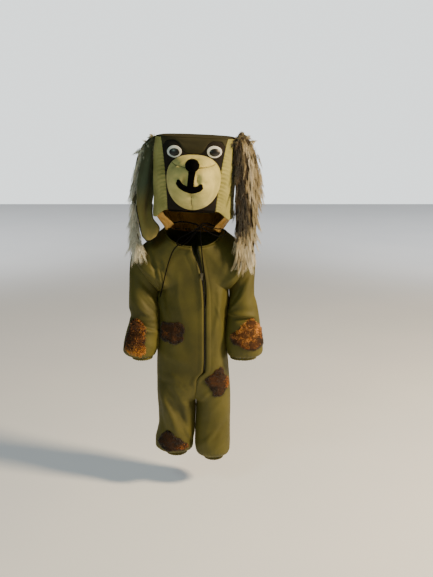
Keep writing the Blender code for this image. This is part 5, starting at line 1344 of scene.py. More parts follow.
class COSTUME_OT_stage(bpy.types.Operator):
    """Floor, soft studio light and camera"""
    bl_idname = "costume.stage"
    bl_label = "Stage"

    def execute(self, context):
        bpy.ops.object.select_all(action="DESELECT")
        bpy.ops.mesh.primitive_plane_add(size=16.0, location=(0.0, 0.0, -NECK_HEIGHT))
        floor = context.object
        floor.name = "studio_floor"
        bpy.ops.object.transform_apply(location=True)
        material, tree, place = new_material("studio_floor_paint")
        mottle = noise_over(tree, place["Object"], 2.0, 2.0)
        shade(material, {"Base Color": ramp(tree, mottle, (0.3, "#dfe5ec"), (0.7, "#e6ebf1"))},
              {"Roughness": 0.9, "Emission Color": linear("#eef4f8"), "Emission Strength": 0.30})
        floor.data.materials.append(material)
        world = bpy.data.worlds.new("studio_air")
        world.use_nodes = True
        air = world.node_tree.nodes["Background"].inputs
        air["Color"].default_value = linear("#e6ecec")
        seen = add_node(world.node_tree, "LightPath").outputs["Is Camera Ray"]
        world.node_tree.links.new(spread(world.node_tree, seen, ToMin=0.05, ToMax=2.0), air["Strength"])
        context.scene.world = world
        for name, kind, place, aim, size, watts, code in (
                ("key_light", "AREA", (3.1, -1.15, 1.9), (0.0, 0.0, -0.1), 0.7, 330.0, "#ffe0b0"),
                ("fill_light", "AREA", (-0.75, -1.25, 0.95), (0.0, 0.0, 0.32), 0.6, 7.5, "#cdeadb"),
                ("floor_light_left", "SPOT", (-2.6, 4.4, 3.0), (-3.0, 5.6, -0.8), 0.6, 420.0, "#ffffff"),
                ("floor_light_right", "SPOT", (2.6, 4.4, 3.0), (3.0, 5.6, -0.8), 0.6, 420.0, "#ffffff")):
            lamp = bpy.data.lights.new(name, kind)
            if kind == "SPOT":
                lamp.spot_size, lamp.spot_blend, lamp.shadow_soft_size = math.radians(100), 0.6, size
            else:
                lamp.shape, lamp.size = "DISK", size
            lamp.energy, lamp.color = watts, linear(code)[:3]
            item = bpy.data.objects.new(name, lamp)
            item.location = place
            item.rotation_euler = (Vector(aim) - Vector(place)).to_track_quat("-Z", "Y").to_euler()
            context.scene.collection.objects.link(item)
        view = bpy.data.cameras.new("photo_view")
        view.sensor_fit = "VERTICAL"
        view.sensor_height = 24.0
        view.lens = 34.65
        camera = bpy.data.objects.new("photo_view", view)
        camera.location = (0.068, -2.5, 0.38)
        camera.rotation_euler = (math.radians(90 - 12.2), 0.0, 0.0)
        context.scene.collection.objects.link(camera)
        context.scene.camera = camera
        return {"FINISHED"}


PANEL_STEPS = (steps(0, 2, 7)[:-1] + steps(2, 3.5, 6)[:-1] + steps(3.5, 7, 24)[:-1] + steps(7, 10, 14)[:-1]
               + steps(10, 17, 52)[:-1] + steps(17, 19, 14)[:-1] + steps(19, 24, 26))
# Flat cut of each panel that shows, width and length in metres, and its area where it isn't a rectangle
PANEL_CUTS = {"suit_front_left": ((0.30, 0.66), 0.145), "suit_front_right": ((0.30, 0.67), 0.140),
              "suit_back_left": ((0.30, 0.69), 0.155), "suit_back_right": ((0.30, 0.70), 0.155),
              "sleeve_left": ((0.36, 0.33), 0.092), "sleeve_right": ((0.36, 0.33), 0.090)}


class COSTUME_OT_suit(bpy.types.Operator):
    """Front and back panels of the jumpsuit with their creases, and the neckline's binding"""
    bl_idname = "costume.suit"
    bl_label = "Suit panels"

    def execute(self, context):
        for side_name, side in SIDES:
            for face_name, face in (("front", -1), ("back", 1)):
                node = "suit_" + face_name + "_" + side_name
                item = shell(node + "_cloth", dressed_suit(side, face), steps(0, 1, 44), PANEL_STEPS,
                             "olive_poplin", sizes().cloth, hint=(side * 0.05, 0.0, -0.30))
                dress(item, "olive_cloth", node)
                flat, area = PANEL_CUTS[node]
        rows = steps(NECK_ROW, PANEL_ROWS, 40)
        legs = ((-1, -1, rows), (-1, 1, rows[-2::-1]), (1, 1, rows[1:]), (1, -1, rows[-2::-1]))
        edge = [(side, face, row) for side, face, run in legs for row in run]
        places = [suit_point(side, face, 0.0, row) for side, face, row in edge]
        centres = []
        for number, (side, face, row) in enumerate(edge):
            along = places[min(len(places) - 1, number + 1)] - places[max(0, number - 1)]
            normal = suit_normal(side, face, 0.0, max(row, NECK_ROW + 0.01))
            across = along.normalized().cross(normal).normalized()
            if across.z - across.xy.dot(places[number].xy) < 0:
                across = -across
            centres.append(places[number] - normal * CLOTH / 2 + across * (BINDING_RADIUS + 0.0004))
        item = tube("neckline_rolled_binding", centres,
                    lambda s: BINDING_RADIUS * (1 + 0.06 * math.sin(260 * s)), 12, "olive_poplin")
        dress(item, "olive_cloth", "neckline_binding")
        return {"FINISHED"}


def casing(node, place, half_x, half_y, top, gathers):
    """Channel for the elastic: a small puckered roll under the gathered edge."""
    def surface(turn, v):
        angle = math.radians(turn)
        cos_turn, sin_turn = polar_turn(turn)
        beat = math.cos(angle * gathers + 1.6 * math.sin(angle * 5) + 0.5 * math.sin(v * 5))
        roll = 0.0011 * math.sin(math.pi * v) ** 0.7 + 0.0009 * beat * (0.5 + 0.5 * math.sin(math.pi * v))
        outward = Vector((cos_turn, -sin_turn, 0.0))
        spot = Vector((place[0] + half_x * cos_turn, place[1] - half_y * sin_turn, top + 0.0002))
        drop = CASING_HEIGHT * v + 0.0005 * beat * v
        return spot + outward * (roll - 0.0003) - Vector((0.0, 0.0, drop))
    turns = [360 * k / 200 for k in range(200)]
    item = shell(node + "_cloth", surface, turns, steps(0, 1, 8), "olive_poplin", 0.0016, True,
                 (place[0], place[1], top - NECK_HEIGHT - 0.004))
    dress(item, "olive_cloth", node)


class COSTUME_OT_sleeves(bpy.types.Operator):
    """Sleeves with their ridges and gathered cuffs"""
    bl_idname = "costume.sleeves"
    bl_label = "Sleeves"

    def execute(self, context):
        for side_name, side in SIDES:
            node = "sleeve_" + side_name
            turns = [360 * k / 84 for k in range(84)]
            table = SLEEVES[side]
            middle = (0.15 * side, -0.015, 0.59 - NECK_HEIGHT)
            item = shell(node + "_cloth", dressed_sleeve(side), turns, steps(0, 12, 92), "olive_poplin",
                         sizes().cloth, True, middle)
            dress(item, "olive_cloth", node)
            flat, area = PANEL_CUTS[node]
            last = table.rows[-1]
            place = (side * (last[1] + last[3]) / 2, last[6])
            casing("cuff_casing_" + side_name, place, (last[1] - last[3]) / 2, last[5], last[2], 30)
            hem = HALVES[side].rows[0]
            place = (side * (hem[1] + hem[2]) / 2, 0.0)
            casing("ankle_casing_" + side_name, place, (hem[1] - hem[2]) / 2, hem[3] + HALF_SEAM, hem[0], 34)
        return {"FINISHED"}


class COSTUME_OT_zip(bpy.types.Operator):
    """Zip: tapes, coil teeth, and the plated slider and tab of the frame"""
    bl_idname = "costume.zip"
    bl_label = "Zip"

    def execute(self, context):
        rows = [row for row in steps(10.0, NECK_ROW, 110) if row_heights(1, -1, row)[1] >= ZIP_BOTTOM]
        heights = [row_heights(1, -1, row)[1] for row in rows]
        fronts = [suit_point(1, -1, 0.0, row).y for row in rows]
        for side_name, side in SIDES:
            def surface(u, row, side=side):
                edge = suit_point(side, -1, 0.0, row)
                step = 0.0003 + ZIP_TAPE_WIDTH * u
                return Vector((edge.x - side * step, edge.y + 0.0004, edge.z))
            item = shell("zip_tape_" + side_name + "_woven", surface, steps(0, 1, 2), rows,
                         "zip_tape_polyester", 0.0009, hint=Vector((0.0, -1.0, 0.0)))
            dress(item, "zip_tape", "zip_tape_" + side_name)
            places = []
            z = ZIP_BOTTOM + 0.003 + (0.0009 if side > 0 else 0.0)
            while z < heights[-1] - 0.002:
                y = float(np.interp(z, heights, fronts))
                slope = (float(np.interp(z + 0.002, heights, fronts)) - float(np.interp(z - 0.002, heights, fronts)))
                gap = CENTRE.at("gap", z)
                apart = max(0.0005, gap - 0.0003 - ZIP_TAPE_WIDTH)
                x = CENTRE.at("x", z) + side * apart
                places.append((Vector((x, y + 0.0001, z)), Vector((side, 0.0, 0.0)),
                               Vector((0.0, -1.0, slope / 0.004))))
                z += 0.0018
            teeth = join_boxes("zip_teeth_" + side_name, places, (0.0020, 0.0011, 0.0012), "zip_nylon")
            dress(teeth, "zip_tape")
        for node in ("zip_slider", "zip_pull_tab"):
            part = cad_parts[node]
            for slot in part.material_slots:
                slot.material = finish("nickel_plate")
        return {"FINISHED"}


# Where each spot is orange, partly its colour and partly painted highlight of the crushed pile, and how much: circles
# in the spot's own circle (x, y, radius, share); the rest is brown
ORANGE_SHEEN_PARTS = {
    "patch_hip_left": ((0.35, -0.1, 0.4, 0.6), (-0.4, 0.4, 0.35, 0.6), (-0.3, -0.4, 0.35, 0.4)),
    "patch_thigh_right": ((0.66, 0.0, 0.46, 0.75), (0.30, 0.45, 0.30, 0.25)),
    "patch_ankle_left": ((-0.55, -0.38, 0.50, 0.60), (-0.15, -0.65, 0.35, 0.25)),
    "patch_arm_left": ((0.30, 0.62, 0.70, 1.4), (-0.30, 0.55, 0.55, 1.4), (0.0, -0.5, 0.75, 0.9)),
    "patch_arm_right": ((0.30, -0.50, 0.80, 1.5), (-0.20, -0.50, 0.70, 1.5), (0.0, 0.1, 0.70, 1.3)),
}


def plush_spot(name, surface, inside, centre, scale, lobes, seed, span):
    """Lobed cushion of plush on the dressed cloth, with its tufts."""
    around, rings = 88, 13
    rng = np.random.default_rng(seed)
    known = {}

    def placed(x, y, rounded=False):
        """Point of the cloth at the spot's own coordinates, and the way out of it."""
        u, v = centre[0] + scale[0] * x, centre[1] + scale[1] * y
        if rounded:
            u, v = round(u / (0.004 * span)) * 0.004 * span, round(v, 2)
        key = (round(u, 4), round(v, 4))
        if key not in known:
            known[key] = surface(u, v)
        point = known[key]
        outward = Vector((point.x - inside[0], point.y - inside[1], 0.0))
        return point, normal_of(lambda a, b: surface(a * span, b * 2), u / span, v / 2, outward)

    reaches = []
    for k in range(around):
        ragged = 1 + 0.035 * math.sin(9 * k / around * 2 * math.pi + seed) + 0.03 * rng.uniform(-1, 1)
        soft_edge = sum(lobed_outline(lobes, 360 * k / around + away) for away in (-14, -7, 0, 7, 14)) / 5
        reaches.append(soft_edge * ragged)
    spots = [(0.0, 0.0, 0.0)]
    for j in range(1, rings + 1):
        ring = (j / rings) ** 0.85
        for k in range(around):
            cos_turn, sin_turn = polar_turn(360 * k / around)
            spots.append((ring * reaches[k] * cos_turn, ring * reaches[k] * sin_turn, ring))
    outer, inner = [], []
    for x, y, ring in spots:
        point, way = placed(x, y)
        lump = 0.0009 * uneven(point.x, point.y, point.z, 0.008) + 0.0008 * uneven(point.z, point.x, point.y, 0.017)
        crown = 0.0024 * (1 - ring**6) + 0.0004
        outer.append(point + way * (PATCH_LIFT * 0.55 + crown + lump * (1 - ring**4)))
        inner.append(point + way * 0.0004)
    middle = (inside[0], inside[1], float(np.mean([p.z for p in outer])) - NECK_HEIGHT)
    uv = [(x * 0.05, y * 0.05) for x, y, ring in spots]
    dress(lens(name + "_ground", outer, inner, around, uv, middle, "curly_plush_ground"), "curly_plush", name)
    hairs = []
    while len(hairs) < 2300:
        turn, ring = rng.uniform(0, 360), math.sqrt(rng.uniform(0, 1))
        reach = reaches[int(turn / 360 * around) % around] * ring * 0.985
        cos_turn, sin_turn = polar_turn(turn)
        x, y = reach * cos_turn, reach * sin_turn
        point, way = placed(x, y, True)
        jitter = Vector(rng.uniform(-0.0018, 0.0018, 3))
        jitter -= way * jitter.dot(way)
        lean = Vector(rng.normal(0, 1, 3))
        lean -= way * lean.dot(way)
        lean.normalize()
        flow = uneven(point.x + 3, point.y, point.z, 0.02)
        lean = (lean + Vector((flow, 0.0, -0.9))).normalized()
        # orange and the gold curls: partly the plush's colour, partly painted highlight of its crushed pile
        orange = max(share * (1 - wave(math.hypot(x - cx, y - cy), r * 0.6, r * 1.15))
                     for cx, cy, r, share in ORANGE_SHEEN_PARTS[name])
        curl = 1 - 2.6 * abs(uneven(point.x, point.y + 5, point.z, 0.009))
        curl = max(-1.0, curl) + 0.5 * uneven(point.x + 2, point.y, point.z, 0.004)
        tone = 0.08 + 0.50 * orange + (0.15 + 0.22 * min(1.0, orange)) * curl + rng.normal(0, 0.05)
        hairs.append((point + way * 0.0016 + jitter, lean * 0.85 + way * rng.uniform(0.25, 0.6), lean.cross(way),
                      sizes().tuft * rng.uniform(0.6, 1.15) * (0.75 + 0.25 * (1 - ring**3)),
                      rng.uniform(0.0005, 0.0009), min(0.99, max(0.01, tone))))
    dress(strands(name + "_tufts", hairs, "curly_plush_tufts", 0.05, 0.16, seed), "curly_plush")


class COSTUME_OT_patches(bpy.types.Operator):
    """Spots of curly plush on their dressed cloth, with their tufts"""
    bl_idname = "costume.patches"
    bl_label = "Plush spots"

    def execute(self, context):
        for number, (name, side, *place) in enumerate(BODY_PATCHES):
            plush_spot(name, dressed_suit(side, -1), (side * 0.05, 0.0), *place, 31 + number, 1.0)
        for number, (name, side, *place) in enumerate(ARM_PATCHES):
            plush_spot(name, dressed_sleeve(side), (side * 0.155, -0.02), *place, 41 + number, 200.0)
        return {"FINISHED"}


HOOD_PARTS = (
    ("hood_forehead", forehead_place, plain_relief, 60, 14, "dark_olive_twill", "dark_olive_cloth", (0.21, 0.05),
     0.0075),
    ("hood_mask", mask_place, plain_relief, 60, 46, "brown_brushed_cotton", "brown_cloth", (0.20, 0.20), 0.033),
    ("hood_cheek_left", left_cheek_place, cheek_relief, 48, 80, "olive_velour", "sage_plush", (0.21, 0.24), 0.036),
    ("hood_cheek_right", right_cheek_place, cheek_relief, 48, 80, "olive_velour", "sage_plush", (0.21, 0.24), 0.036),
    ("hood_back", back_place, back_relief, 96, 54, "dark_olive_twill", "dark_olive_cloth", (0.45, 0.24), 0.088))


def hood_top(wall):
    """Flat top of the hood, a little domed, its edge rolled down to the seam."""
    around, rings = 120, 12
    outer, inner = [], []
    spots = [(0.0, 0.0, 0.0)]
    for j in range(1, rings + 1):
        for k in range(around):
            edge = hood_local(360 * k / around, HOOD_TOP)
            spots.append((edge.x * j / rings, edge.y * j / rings, j / rings))
    for x, y, ring in spots:
        rise = TOP_DOME * (1 - ring**3) + 0.0007 * uneven(x, y, 0.4, 0.04) * (1 - ring**4)
        roll = wall * (1 - 0.55 * wave(ring, 0.90, 1.0))
        out = 1 + 0.004 * wave(ring, 0.9, 1.0)
        outer.append(hood_place(Vector((x * out, y * out, HOOD_TOP + 0.0003 + rise + roll))))
        inner.append(hood_place(Vector((x, y, HOOD_TOP + 0.0003 + rise))))
    item = lens("hood_top_cloth", outer, inner, around, [(x, y) for x, y, ring in spots],
                (0.005, 0.0, HOOD_TOP - NECK_HEIGHT + 0.0015), "dark_olive_twill")
    dress(item, "dark_olive_cloth", "hood_top")


class COSTUME_OT_hood(bpy.types.Operator):
    """Foam-backed hood: forehead, mask, cheeks, back, top and the mask's binding"""
    bl_idname = "costume.hood"
    bl_label = "Hood"

    def execute(self, context):
        wall = sizes().foam
        for node, place, relief, columns, rows, cloth, slot, flat, area in HOOD_PARTS:
            item = shell(node + "_cloth", hood_surface(place, relief), steps(0, 1, columns), steps(0, 1, rows),
                         cloth, wall, hint=(0.005, 0.0, 0.2))
            dress(item, slot, node)
        hood_top(wall)
        centres = []
        for x in steps(-0.066, 0.066, 60):
            point = hood_front(x, MASK_BOTTOM)
            bow = -0.0008 * (1 - (x / 0.066) ** 2)
            centres.append(hood_place(Vector((point.x, point.y + FOAM / 2 - 0.0006, MASK_BOTTOM - 0.0021 + bow))))
        dress(tube("mask_lower_binding", centres, 0.0023, 12, "black_cotton_tape"), "black_binding", "mask_binding")
        return {"FINISHED"}


def nose():
    """Round felt nose with its loose fibres."""
    around, levels = 56, 28
    way = muzzle_normal(NOSE_X, NOSE_Z)
    middle = muzzle_front(NOSE_X, NOSE_Z) + way * (NOSE_DEPTH * 0.42)
    across = Vector((1.0, 0.0, 0.0))
    up = across.cross(way).normalized()
    if up.z < 0:
        up = -up
    points = []
    for j in range(1, levels):
        angle = math.pi * j / levels
        for k in range(around):
            cos_turn, sin_turn = polar_turn(360 * k / around)
            ball = (across * cos_turn + up * sin_turn) * math.sin(angle) * NOSE_RADIUS
            ball -= way * math.cos(angle) * NOSE_DEPTH * 0.62
            spot = middle + ball
            lump = 0.0004 * uneven(spot.x, spot.y, spot.z, 0.006)
            points.append(hood_place(spot + ball.normalized() * lump))
    back = len(points)
    points += [hood_place(middle - way * NOSE_DEPTH * 0.62), hood_place(middle + way * NOSE_DEPTH * 0.62)]
    faces = grid_faces(around, levels - 2)
    for k in range(around):
        m = (k + 1) % around
        faces += [(back, m, k), (back + 1, back - around + k, back - around + m)]
    item = new_mesh("nose_felt", lowered(points), faces, "black_wool_felt")
    centre = hood_place(middle)
    face_outwards(item, lowered([centre])[0])
    dress(item, "black_felt", "nose")
    rng = np.random.default_rng(12)
    roots, ways = [], []
    for n in range(900):
        j = rng.integers(levels // 3, levels - 1)
        spot = points[j * around + rng.integers(0, around)]
        out = (spot - centre).normalized()
        roots.append(spot - out * 0.0006)
        ways.append(out + Vector(rng.normal(0, 0.7, 3)))
    hairs = zip(roots, ways, [way.cross(Vector((0.3, 0.2, 1.0))) for way in ways], rng.uniform(0.0018, 0.0036, 900),
                rng.uniform(0.00012, 0.00022, 900), rng.uniform(0, 0.12, 900))
    dress(strands("nose_fuzz", hairs, "black_wool_fibres", 0.1, 0.2, 5), "black_felt")


def mouth():
    """Felt strip down from the nose and the smile it runs into, one thin piece on the padding."""
    columns, step, rows = 72, 7, 16
    places, faces = [], []
    start, stop = SMILE.rows[0][0], SMILE.rows[-1][0]
    for i in range(columns + 1):
        x = start + (stop - start) * i / columns
        z = SMILE.at("z", x)
        slope = (SMILE.at("z", x + 0.001) - SMILE.at("z", x - 0.001)) / 0.002
        side = Vector((-slope, 1.0)).normalized()
        end = min(1.0, min(i, columns - i) / columns / 0.07)
        half = SMILE_HALF * (0.35 + 0.65 * math.sqrt(end * (2 - end)))
        half *= 0.86 + 0.22 * math.exp(-((x - NOSE_X) / 0.016) ** 2)
        for j in range(step):
            share = -1 + 2 * j / (step - 1)
            places.append((x + side.x * half * share, z + side.y * half * share))
    for i in range(0, step * columns, step):
        faces += [(i + j, i + step + j, i + step + 1 + j, i + 1 + j) for j in range(step - 1)]
    tops = range(step - 1, len(places), step)
    first, last = (min(range(columns + 1), key=lambda i: abs(places[tops[i]][0] - (NOSE_X - 0.0035 + half)))
                   for half in (-STRIP_HALF, STRIP_HALF))
    previous = tops[first:last + 1]
    count = last - first
    start_at = [places[k] for k in previous]
    top_z = NOSE_Z - NOSE_RADIUS + 0.0080
    for row in range(1, rows + 1):
        s = row / rows
        flare = 1.04 + 0.14 * (2 * abs(s - 0.5)) ** 2
        current = range(len(places), len(places) + count + 1)
        for k, (x, z) in enumerate(start_at):
            spread_k = -STRIP_HALF + 2 * STRIP_HALF * k / count
            places.append((x * (1 - s) + (NOSE_X + spread_k * flare) * s, z + (top_z - z) * s))
        faces += [(previous[k], previous[k + 1], current[k + 1], current[k]) for k in range(count)]
        previous = current
    outer = [over_muzzle(x, z, LIFT + FELT * 0.2) for x, z in places]
    item = new_mesh("mouth_felt", lowered(outer), faces, "black_wool_felt", places)
    face_outwards(item, Vector((0.0, -1.0, 0.0)))
    thicken(item, "Felt", FELT, 1.0)
    dress(item, "black_felt", "mouth")


class COSTUME_OT_muzzle(bpy.types.Operator):
    """Padded muzzle in three panels, felt mouth and round nose"""
    bl_idname = "costume.muzzle"
    bl_label = "Muzzle, nose and mouth"

    def execute(self, context):
        right, left, down = SEAM_TURNS
        for name, first, last, columns in (("muzzle_top", right, left, 90), ("muzzle_left", left, down, 60),
                                           ("muzzle_right", down, 360 + right, 60)):
            closer = [0.5 - 0.5 * math.cos(math.pi * k / columns) for k in range(columns + 1)]
            item = shell(name + "_velour", muzzle_surface(first, last), closer, steps(0, 1, 44), "sage_velour",
                         0.0052, hint=(0.005, 0.0, 0.18))
            dress(item, "sage_plush", name)
        # A thin dark tube along each seam: painted shade in the seam's groove
        for name, turn, start in (("right", right, 0.22), ("left", left, 0.22), ("down", down, 0.66)):
            run = []
            for share in steps(start, 0.97, 40):
                cos_turn, sin_turn = polar_turn(turn)
                reach = muzzle_edge(turn) * share
                x, z = NOSE_X + reach * cos_turn, NOSE_Z + reach * sin_turn
                rise = muzzle_relief(turn, share, turn, turn + 90) + muzzle_dents(x, z) + 0.0002
                run.append(hood_place(muzzle_front(x, z) + muzzle_normal(x, z) * rise))
            dress(tube("muzzle_seam_" + name, run, 0.0006, 6, "dark_thread"), "sage_plush")
        nose()
        mouth()
        return {"FINISHED"}


def eye_disc(node, x0, z0, half, lift, dome, material, slot):
    """Disc that follows the hood's wall, its rim rolled over."""
    around = 72
    profile = ((0.20, 1.0), (0.45, 1.0), (0.65, 1.0), (0.80, 1.0), (0.90, 1.0), (0.96, 0.9), (0.99, 0.6), (1.0, 0.2),
               (1.0, 0.0))
    points = [on_hood(x0, z0, lift + dome)]
    for ring, rise in profile:
        for k in range(around):
            cos_turn, sin_turn = polar_turn(360 * k / around)
            high = (lift + dome * (1 - ring**2)) * rise or 0.0003
            points.append(on_hood(x0 + half[0] * ring * cos_turn, z0 + half[1] * ring * sin_turn, high))
    faces = disc_faces(around, len(profile)) + [tuple(range(len(points) - around, len(points)))]
    item = new_mesh(node + "_disc", lowered(points), faces, material)
    face_outwards(item, lowered([on_hood(x0, z0, -0.004)])[0])
    dress(item, slot, node)


class COSTUME_OT_eyes(bpy.types.Operator):
    """Silvery eye rings and charcoal pupils"""
    bl_idname = "costume.eyes"
    bl_label = "Eyes"

    def execute(self, context):
        for name, side in SIDES:
            x, z = EYE_MIDDLE + side * EYE_SPREAD, EYE_Z[side]
            eye_disc("eye_white_" + name, x, z, EYE_HALF, 0.0014, 0.0010, "white_vinyl", "eye_white")
            eye_disc("pupil_" + name, x + 0.0010, z - 0.0012, PUPIL_HALF, 0.0026, 0.0030, "charcoal_vinyl", "pupil")
        return {"FINISHED"}


class COSTUME_OT_neck_section(bpy.types.Operator):
    """Gathered neck section under the hood"""
    bl_idname = "costume.neck_section"
    bl_label = "Neck section"

    def execute(self, context):
        # Its tan colour is painted warm light on a lighter olive cloth
        item = shell("neck_section_cloth", dressed_funnel, steps(0, 1, 420), steps(0, 1, 14), "tan_sateen",
                     0.0012, hint=(0.005, 0.0, 0.05))
        dress(item, "tan_cloth", "neck_section")
        return {"FINISHED"}


def left_tone(u, z, rng):
    return 0.92 - 0.16 * wave(z, 1.00, 1.08) - 0.20 * (1 - u) + rng.normal(0, 0.10)


def right_tone(u, z, rng):
    """Dark by the hood, blond in the middle, brown along the top and the outer edge."""
    blond = math.exp(-((u - 0.52) / 0.20) ** 2) * wave(z, 0.86, 0.93) * (1 - wave(z, 1.05, 1.10))
    low = 1 - wave(z, 0.76, 0.84)
    brown = 0.46 + 0.20 * u
    dark = 0.05
    tone = dark + (brown - dark) * wave(u, 0.30, 0.75)
    tone = tone + (0.88 - tone) * max(blond, 0.75 * low)
    tone += (0.62 - tone) * 0.6 * wave(z, 1.05, 1.08)
    return tone + rng.normal(0, 0.09)


def fur(name, table, bend, seed, coat, backing, tone_at):
    low, high = table.rows[0][0], table.rows[-1][0]
    rng = np.random.default_rng(seed)

    def skin(u, z):
        return ear_point(table, u, z, bend)

    def normal(u, z):
        return normal_of(skin, u, z, Vector((0.0, -1.0, 0.0)))

    def crest(u):
        return high - 0.004 - 0.034 * abs(2 * u - 1) ** 2.2

    def back(u, v):
        lowest = low + 0.035 + 0.014 * math.sin(9 * u + seed)
        return skin(u, lowest + (crest(u) - lowest) * v)
    item = shell(name + "_backing", back, steps(0, 1, 24), steps(0, 1, 70), backing, 0.0022,
                 hint=Vector((0.0, -1.0, 0.0)))
    dress(item, "long_fur", name)
    hairs = []
    longest = sizes().hair
    count = sizes().locks * 2
    for lock in range(count):
        u = rng.uniform(-0.02, 1.02)
        share = (lock + rng.uniform(0, 1)) / count
        z = low + 0.045 + (high - low - 0.047) * share
        facing = 1 if rng.uniform() < 0.58 else -1
        at = min(1.0, max(0.0, u))
        z = min(z, crest(at) - 0.002)
        base, out = skin(at, z), normal(at, z) * facing
        thick = table.at("pile", z) * 0.5
        across = (skin(min(1, at + 0.05), z) - skin(max(0, at - 0.05), z)).normalized()
        fan = (at - 0.45) * 0.55 + rng.normal(0, 0.16)
        length = longest * rng.uniform(0.55, 1.0) * (0.62 + 0.38 * (1 - wave(z, 1.03, 1.10)))
        drop = Vector((0.0, 0.0, -1.0)) + across * fan + out * rng.uniform(0.02, 0.16)
        crown = wave(z, crest(at) - 0.026, crest(at))
        if crown > 0:
            length *= 1 - 0.72 * crown
            drop += (out * rng.uniform(0.2, 0.9) + across * (1.6 * (at - 0.45) + rng.normal(0, 0.5))
                     + Vector((0, 0, 1.35))) * crown
        tip = base + out * (thick * rng.uniform(0.5, 0.95)) + drop.normalized() * length
        tone = tone_at(at, z - length * 0.5, rng)
        for n in range(11 + int(6 * crown)):
            start = base + across * rng.normal(0, 0.0032) + Vector((0, 0, rng.normal(0, 0.0035)))
            start += out * thick * rng.uniform(0.15, 0.8)
            end = tip + across * rng.normal(0, 0.0022) + out * rng.normal(0, 0.0012)
            way = end - start
            hairs.append((start, way, across, way.length * rng.uniform(0.8, 1.08), rng.uniform(0.00045, 0.0009),
                          min(0.99, max(0.01, tone + rng.normal(0, 0.06)))))
    dress(strands(name + "_hair", hairs, coat, 0.0, 0.045, seed + 1), "long_fur")


class COSTUME_OT_ears(bpy.types.Operator):
    """Ears: cloth lining, knitted backing and locks of long hair"""
    bl_idname = "costume.ears"
    bl_label = "Ears"

    def execute(self, context):
        for name, table, columns in (("ear_lining_left", LEFT_LINING, 30), ("ear_lining_right", RIGHT_LINING, 26)):
            low, high = table.rows[0][0], table.rows[-1][0]
            item = shell(name + "_cloth", dressed_ear(table, 0.10, 0.0012), steps(0, 1, columns),
                         steps(low, high, 80), "ear_lining_cotton", 0.0012, hint=Vector((0.0, -1.0, 0.0)))
            dress(item, "ear_lining", name)
        surface = dressed_ear(LEFT_LINING, 0.10, 0.0012)
        low = LEFT_LINING.rows[0][0]
        run = [surface(0.0, z) for z in steps(0.90, low + 0.001, 30)]
        run += [surface(u, low) + Vector((0.0, 0.0, -0.001)) for u in steps(0.08, 0.92, 8)]
        run += [surface(1.0, z) for z in steps(low + 0.001, 0.90, 30)]
        edge = tube("ear_lining_binding", run, 0.0014, 8, "black_cotton_tape")
        dress(edge, "black_binding")
        fur("ear_fur_left", LEFT_FUR, 0.10, 3, "grey_acrylic_fur", "grey_knit_backing", left_tone)
        fur("ear_fur_right", RIGHT_FUR, -0.03, 7, "acrylic_fur", "fur_knit_backing", right_tone)
        return {"FINISHED"}


def wound_knot(diameter):
    """Overhand knot: a strand wound over and under itself, drawn tight."""
    run = []
    for k in range(97):
        s = 2 * math.pi * k / 96
        wind = 3 * s
        swell = 0.62 + 0.38 * math.cos(2 * s) * 0.25
        x = KNOT_RADII[0] * swell * math.cos(s) * 0.62 + KNOT_RADII[0] * 0.20 * math.cos(wind)
        z = KNOT_RADII[2] * swell * math.sin(s) * 0.62 + KNOT_RADII[2] * 0.20 * math.sin(wind)
        y = KNOT_RADII[1] * 0.52 * math.sin(2 * s + 0.6)
        run.append(KNOT + Vector((x, y, z)))
    item = tube("cord_knot_wound", run, diameter * 0.50, 12, "braided_cord", 700.0, 4, 0.10)
    dress(item, "drawstring", "cord_knot")


class COSTUME_OT_drawstring(bpy.types.Operator):
    """Drawstring: its runs, two loops and two free ends, and the knot"""
    bl_idname = "costume.drawstring"
    bl_label = "Drawstring"

    def execute(self, context):
        diameter = sizes().cord
        for name, (start, points, end) in CORD_RUNS.items():
            run = smooth_run(cord_points(start, points, end), CORD_SPACING)
            fine = smooth_run(run, 0.0025)
            item = tube(name + "_braid", fine, diameter / 2, 14, "braided_cord", 700.0, 4, 0.10)
            dress(item, "drawstring", name)
            route = lowered(run)
            length = sum((b - a).length for a, b in zip(run, run[1:]))
            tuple(route[0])
        wound_knot(diameter)
        return {"FINISHED"}


def stitch(run, places, out):
    """Stitches of 2.4 mm with gaps of 1.2 mm along a run of points; out is a way or a middle."""
    done = 0.0
    mark = 0.0012
    for a, b in zip(run, run[1:]):
        length = (b - a).length
        while mark <= done + length and length > 0:
            spot = a.lerp(b, (mark - done) / length)
            way = out if out.length < 1.2 and abs(out.y) > 0.3 else Vector((spot.x - out.x, spot.y - out.y, 0.0))
            places.append((spot + way.normalized() * 0.0002, b - a, way.normalized()))
            mark += 0.0036
        done += length


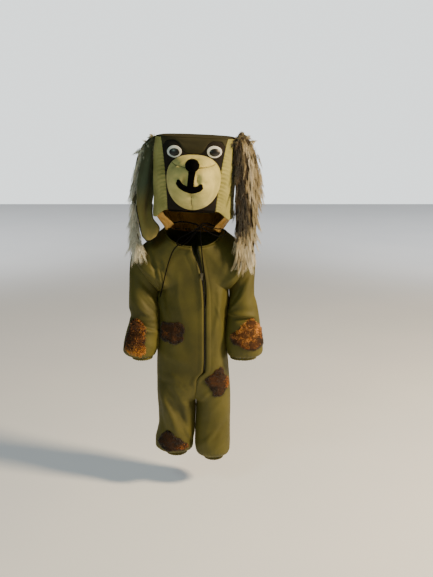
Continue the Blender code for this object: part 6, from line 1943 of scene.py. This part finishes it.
class COSTUME_OT_stitching(bpy.types.Operator):
    """Rows of machine stitches along neckline, placket, cuffs, hems and the mask"""
    bl_idname = "costume.stitching"
    bl_label = "Stitching"

    def execute(self, context):
        places = []
        for side in (-1, 1):
            for face in (-1, 1):
                surface = dressed_suit(side, face)
                run = []
                for row in steps(NECK_ROW + 0.15, PANEL_ROWS - 0.1, 60):
                    run.append(surface(0.035, row))
                stitch(run, places, Vector((0.0, face, 0.4)))
            surface = dressed_suit(side, -1)
            run = [surface(0.018, row) for row in steps(FRONT_ROW + 0.9, NECK_ROW - 0.2, 150)]
            stitch(run, places, Vector((0.0, -1.0, 0.0)))
        for side in (-1, 1):
            surface = dressed_sleeve(side)
            run = [surface(turn, 11.7) for turn in steps(0, 360, 110)]
            middle = sum(run, Vector()) / len(run)
            stitch(run, places, middle)
            for face in (-1, 1):
                surface = dressed_suit(side, face)
                run = [surface(u, 0.25) for u in steps(0.01, 0.99, 60)]
                stitch(run, places, Vector((side * 0.058, 0.0, run[0].z)))
        item = join_boxes("suit_stitches", places, (0.0024, 0.0005, 0.0005), "dark_thread")
        dress(item, "olive_cloth")
        places = []
        for flip in (-1, 1):
            run = []
            for z in steps(MASK_BOTTOM + 0.003, 1.070, 70):
                x = (MASK.at("half", z) - 0.0025) * flip
                run.append(on_hood(x, z, 0.0004))
            stitch(run, places, Vector((0.0, -1.0, 0.0)))
        item = join_boxes("mask_stitches", places, (0.0024, 0.0005, 0.0005), "black_thread")
        dress(item, "brown_cloth")
        return {"FINISHED"}


PIECES = (COSTUME_OT_stage, COSTUME_OT_drawstring, COSTUME_OT_suit, COSTUME_OT_sleeves, COSTUME_OT_zip,
          COSTUME_OT_patches, COSTUME_OT_hood, COSTUME_OT_muzzle, COSTUME_OT_eyes, COSTUME_OT_neck_section,
          COSTUME_OT_ears, COSTUME_OT_stitching)


class COSTUME_PT_pieces(bpy.types.Panel):
    """Sizes, colours and pieces of the costume"""
    bl_idname = "COSTUME_PT_pieces"
    bl_label = "Dog costume"
    bl_space_type = "VIEW_3D"
    bl_region_type = "UI"
    bl_category = "Costume"

    def draw(self, context):
        column = self.layout.column()
        for name in ("cloth", "foam", "cord", "hair", "tuft", "locks"):
            column.prop(context.scene.costume_sizes, name)
        column.separator()
        for name in CostumeColours.__annotations__:
            column.prop(context.scene.costume_dyes, name)
        column.separator()
        for piece in PIECES:
            column.operator(piece.bl_idname)


CLASSES = (CostumeSizes, CostumeColours) + PIECES + (COSTUME_PT_pieces,)


def register():
    for item in CLASSES:
        bpy.utils.register_class(item)
    bpy.types.Scene.costume_sizes = bpy.props.PointerProperty(type=CostumeSizes)
    bpy.types.Scene.costume_dyes = bpy.props.PointerProperty(type=CostumeColours)


def unregister():
    del bpy.types.Scene.costume_dyes
    del bpy.types.Scene.costume_sizes
    for item in reversed(CLASSES):
        bpy.utils.unregister_class(item)


def main():
    register()
    bpy.ops.costume.stage()
    bpy.ops.costume.drawstring()
    bpy.ops.costume.suit()
    bpy.ops.costume.sleeves()
    bpy.ops.costume.zip()
    bpy.ops.costume.patches()
    bpy.ops.costume.hood()
    bpy.ops.costume.muzzle()
    bpy.ops.costume.eyes()
    bpy.ops.costume.neck_section()
    bpy.ops.costume.ears()
    bpy.ops.costume.stitching()


if __name__ == "__main__":
    main()
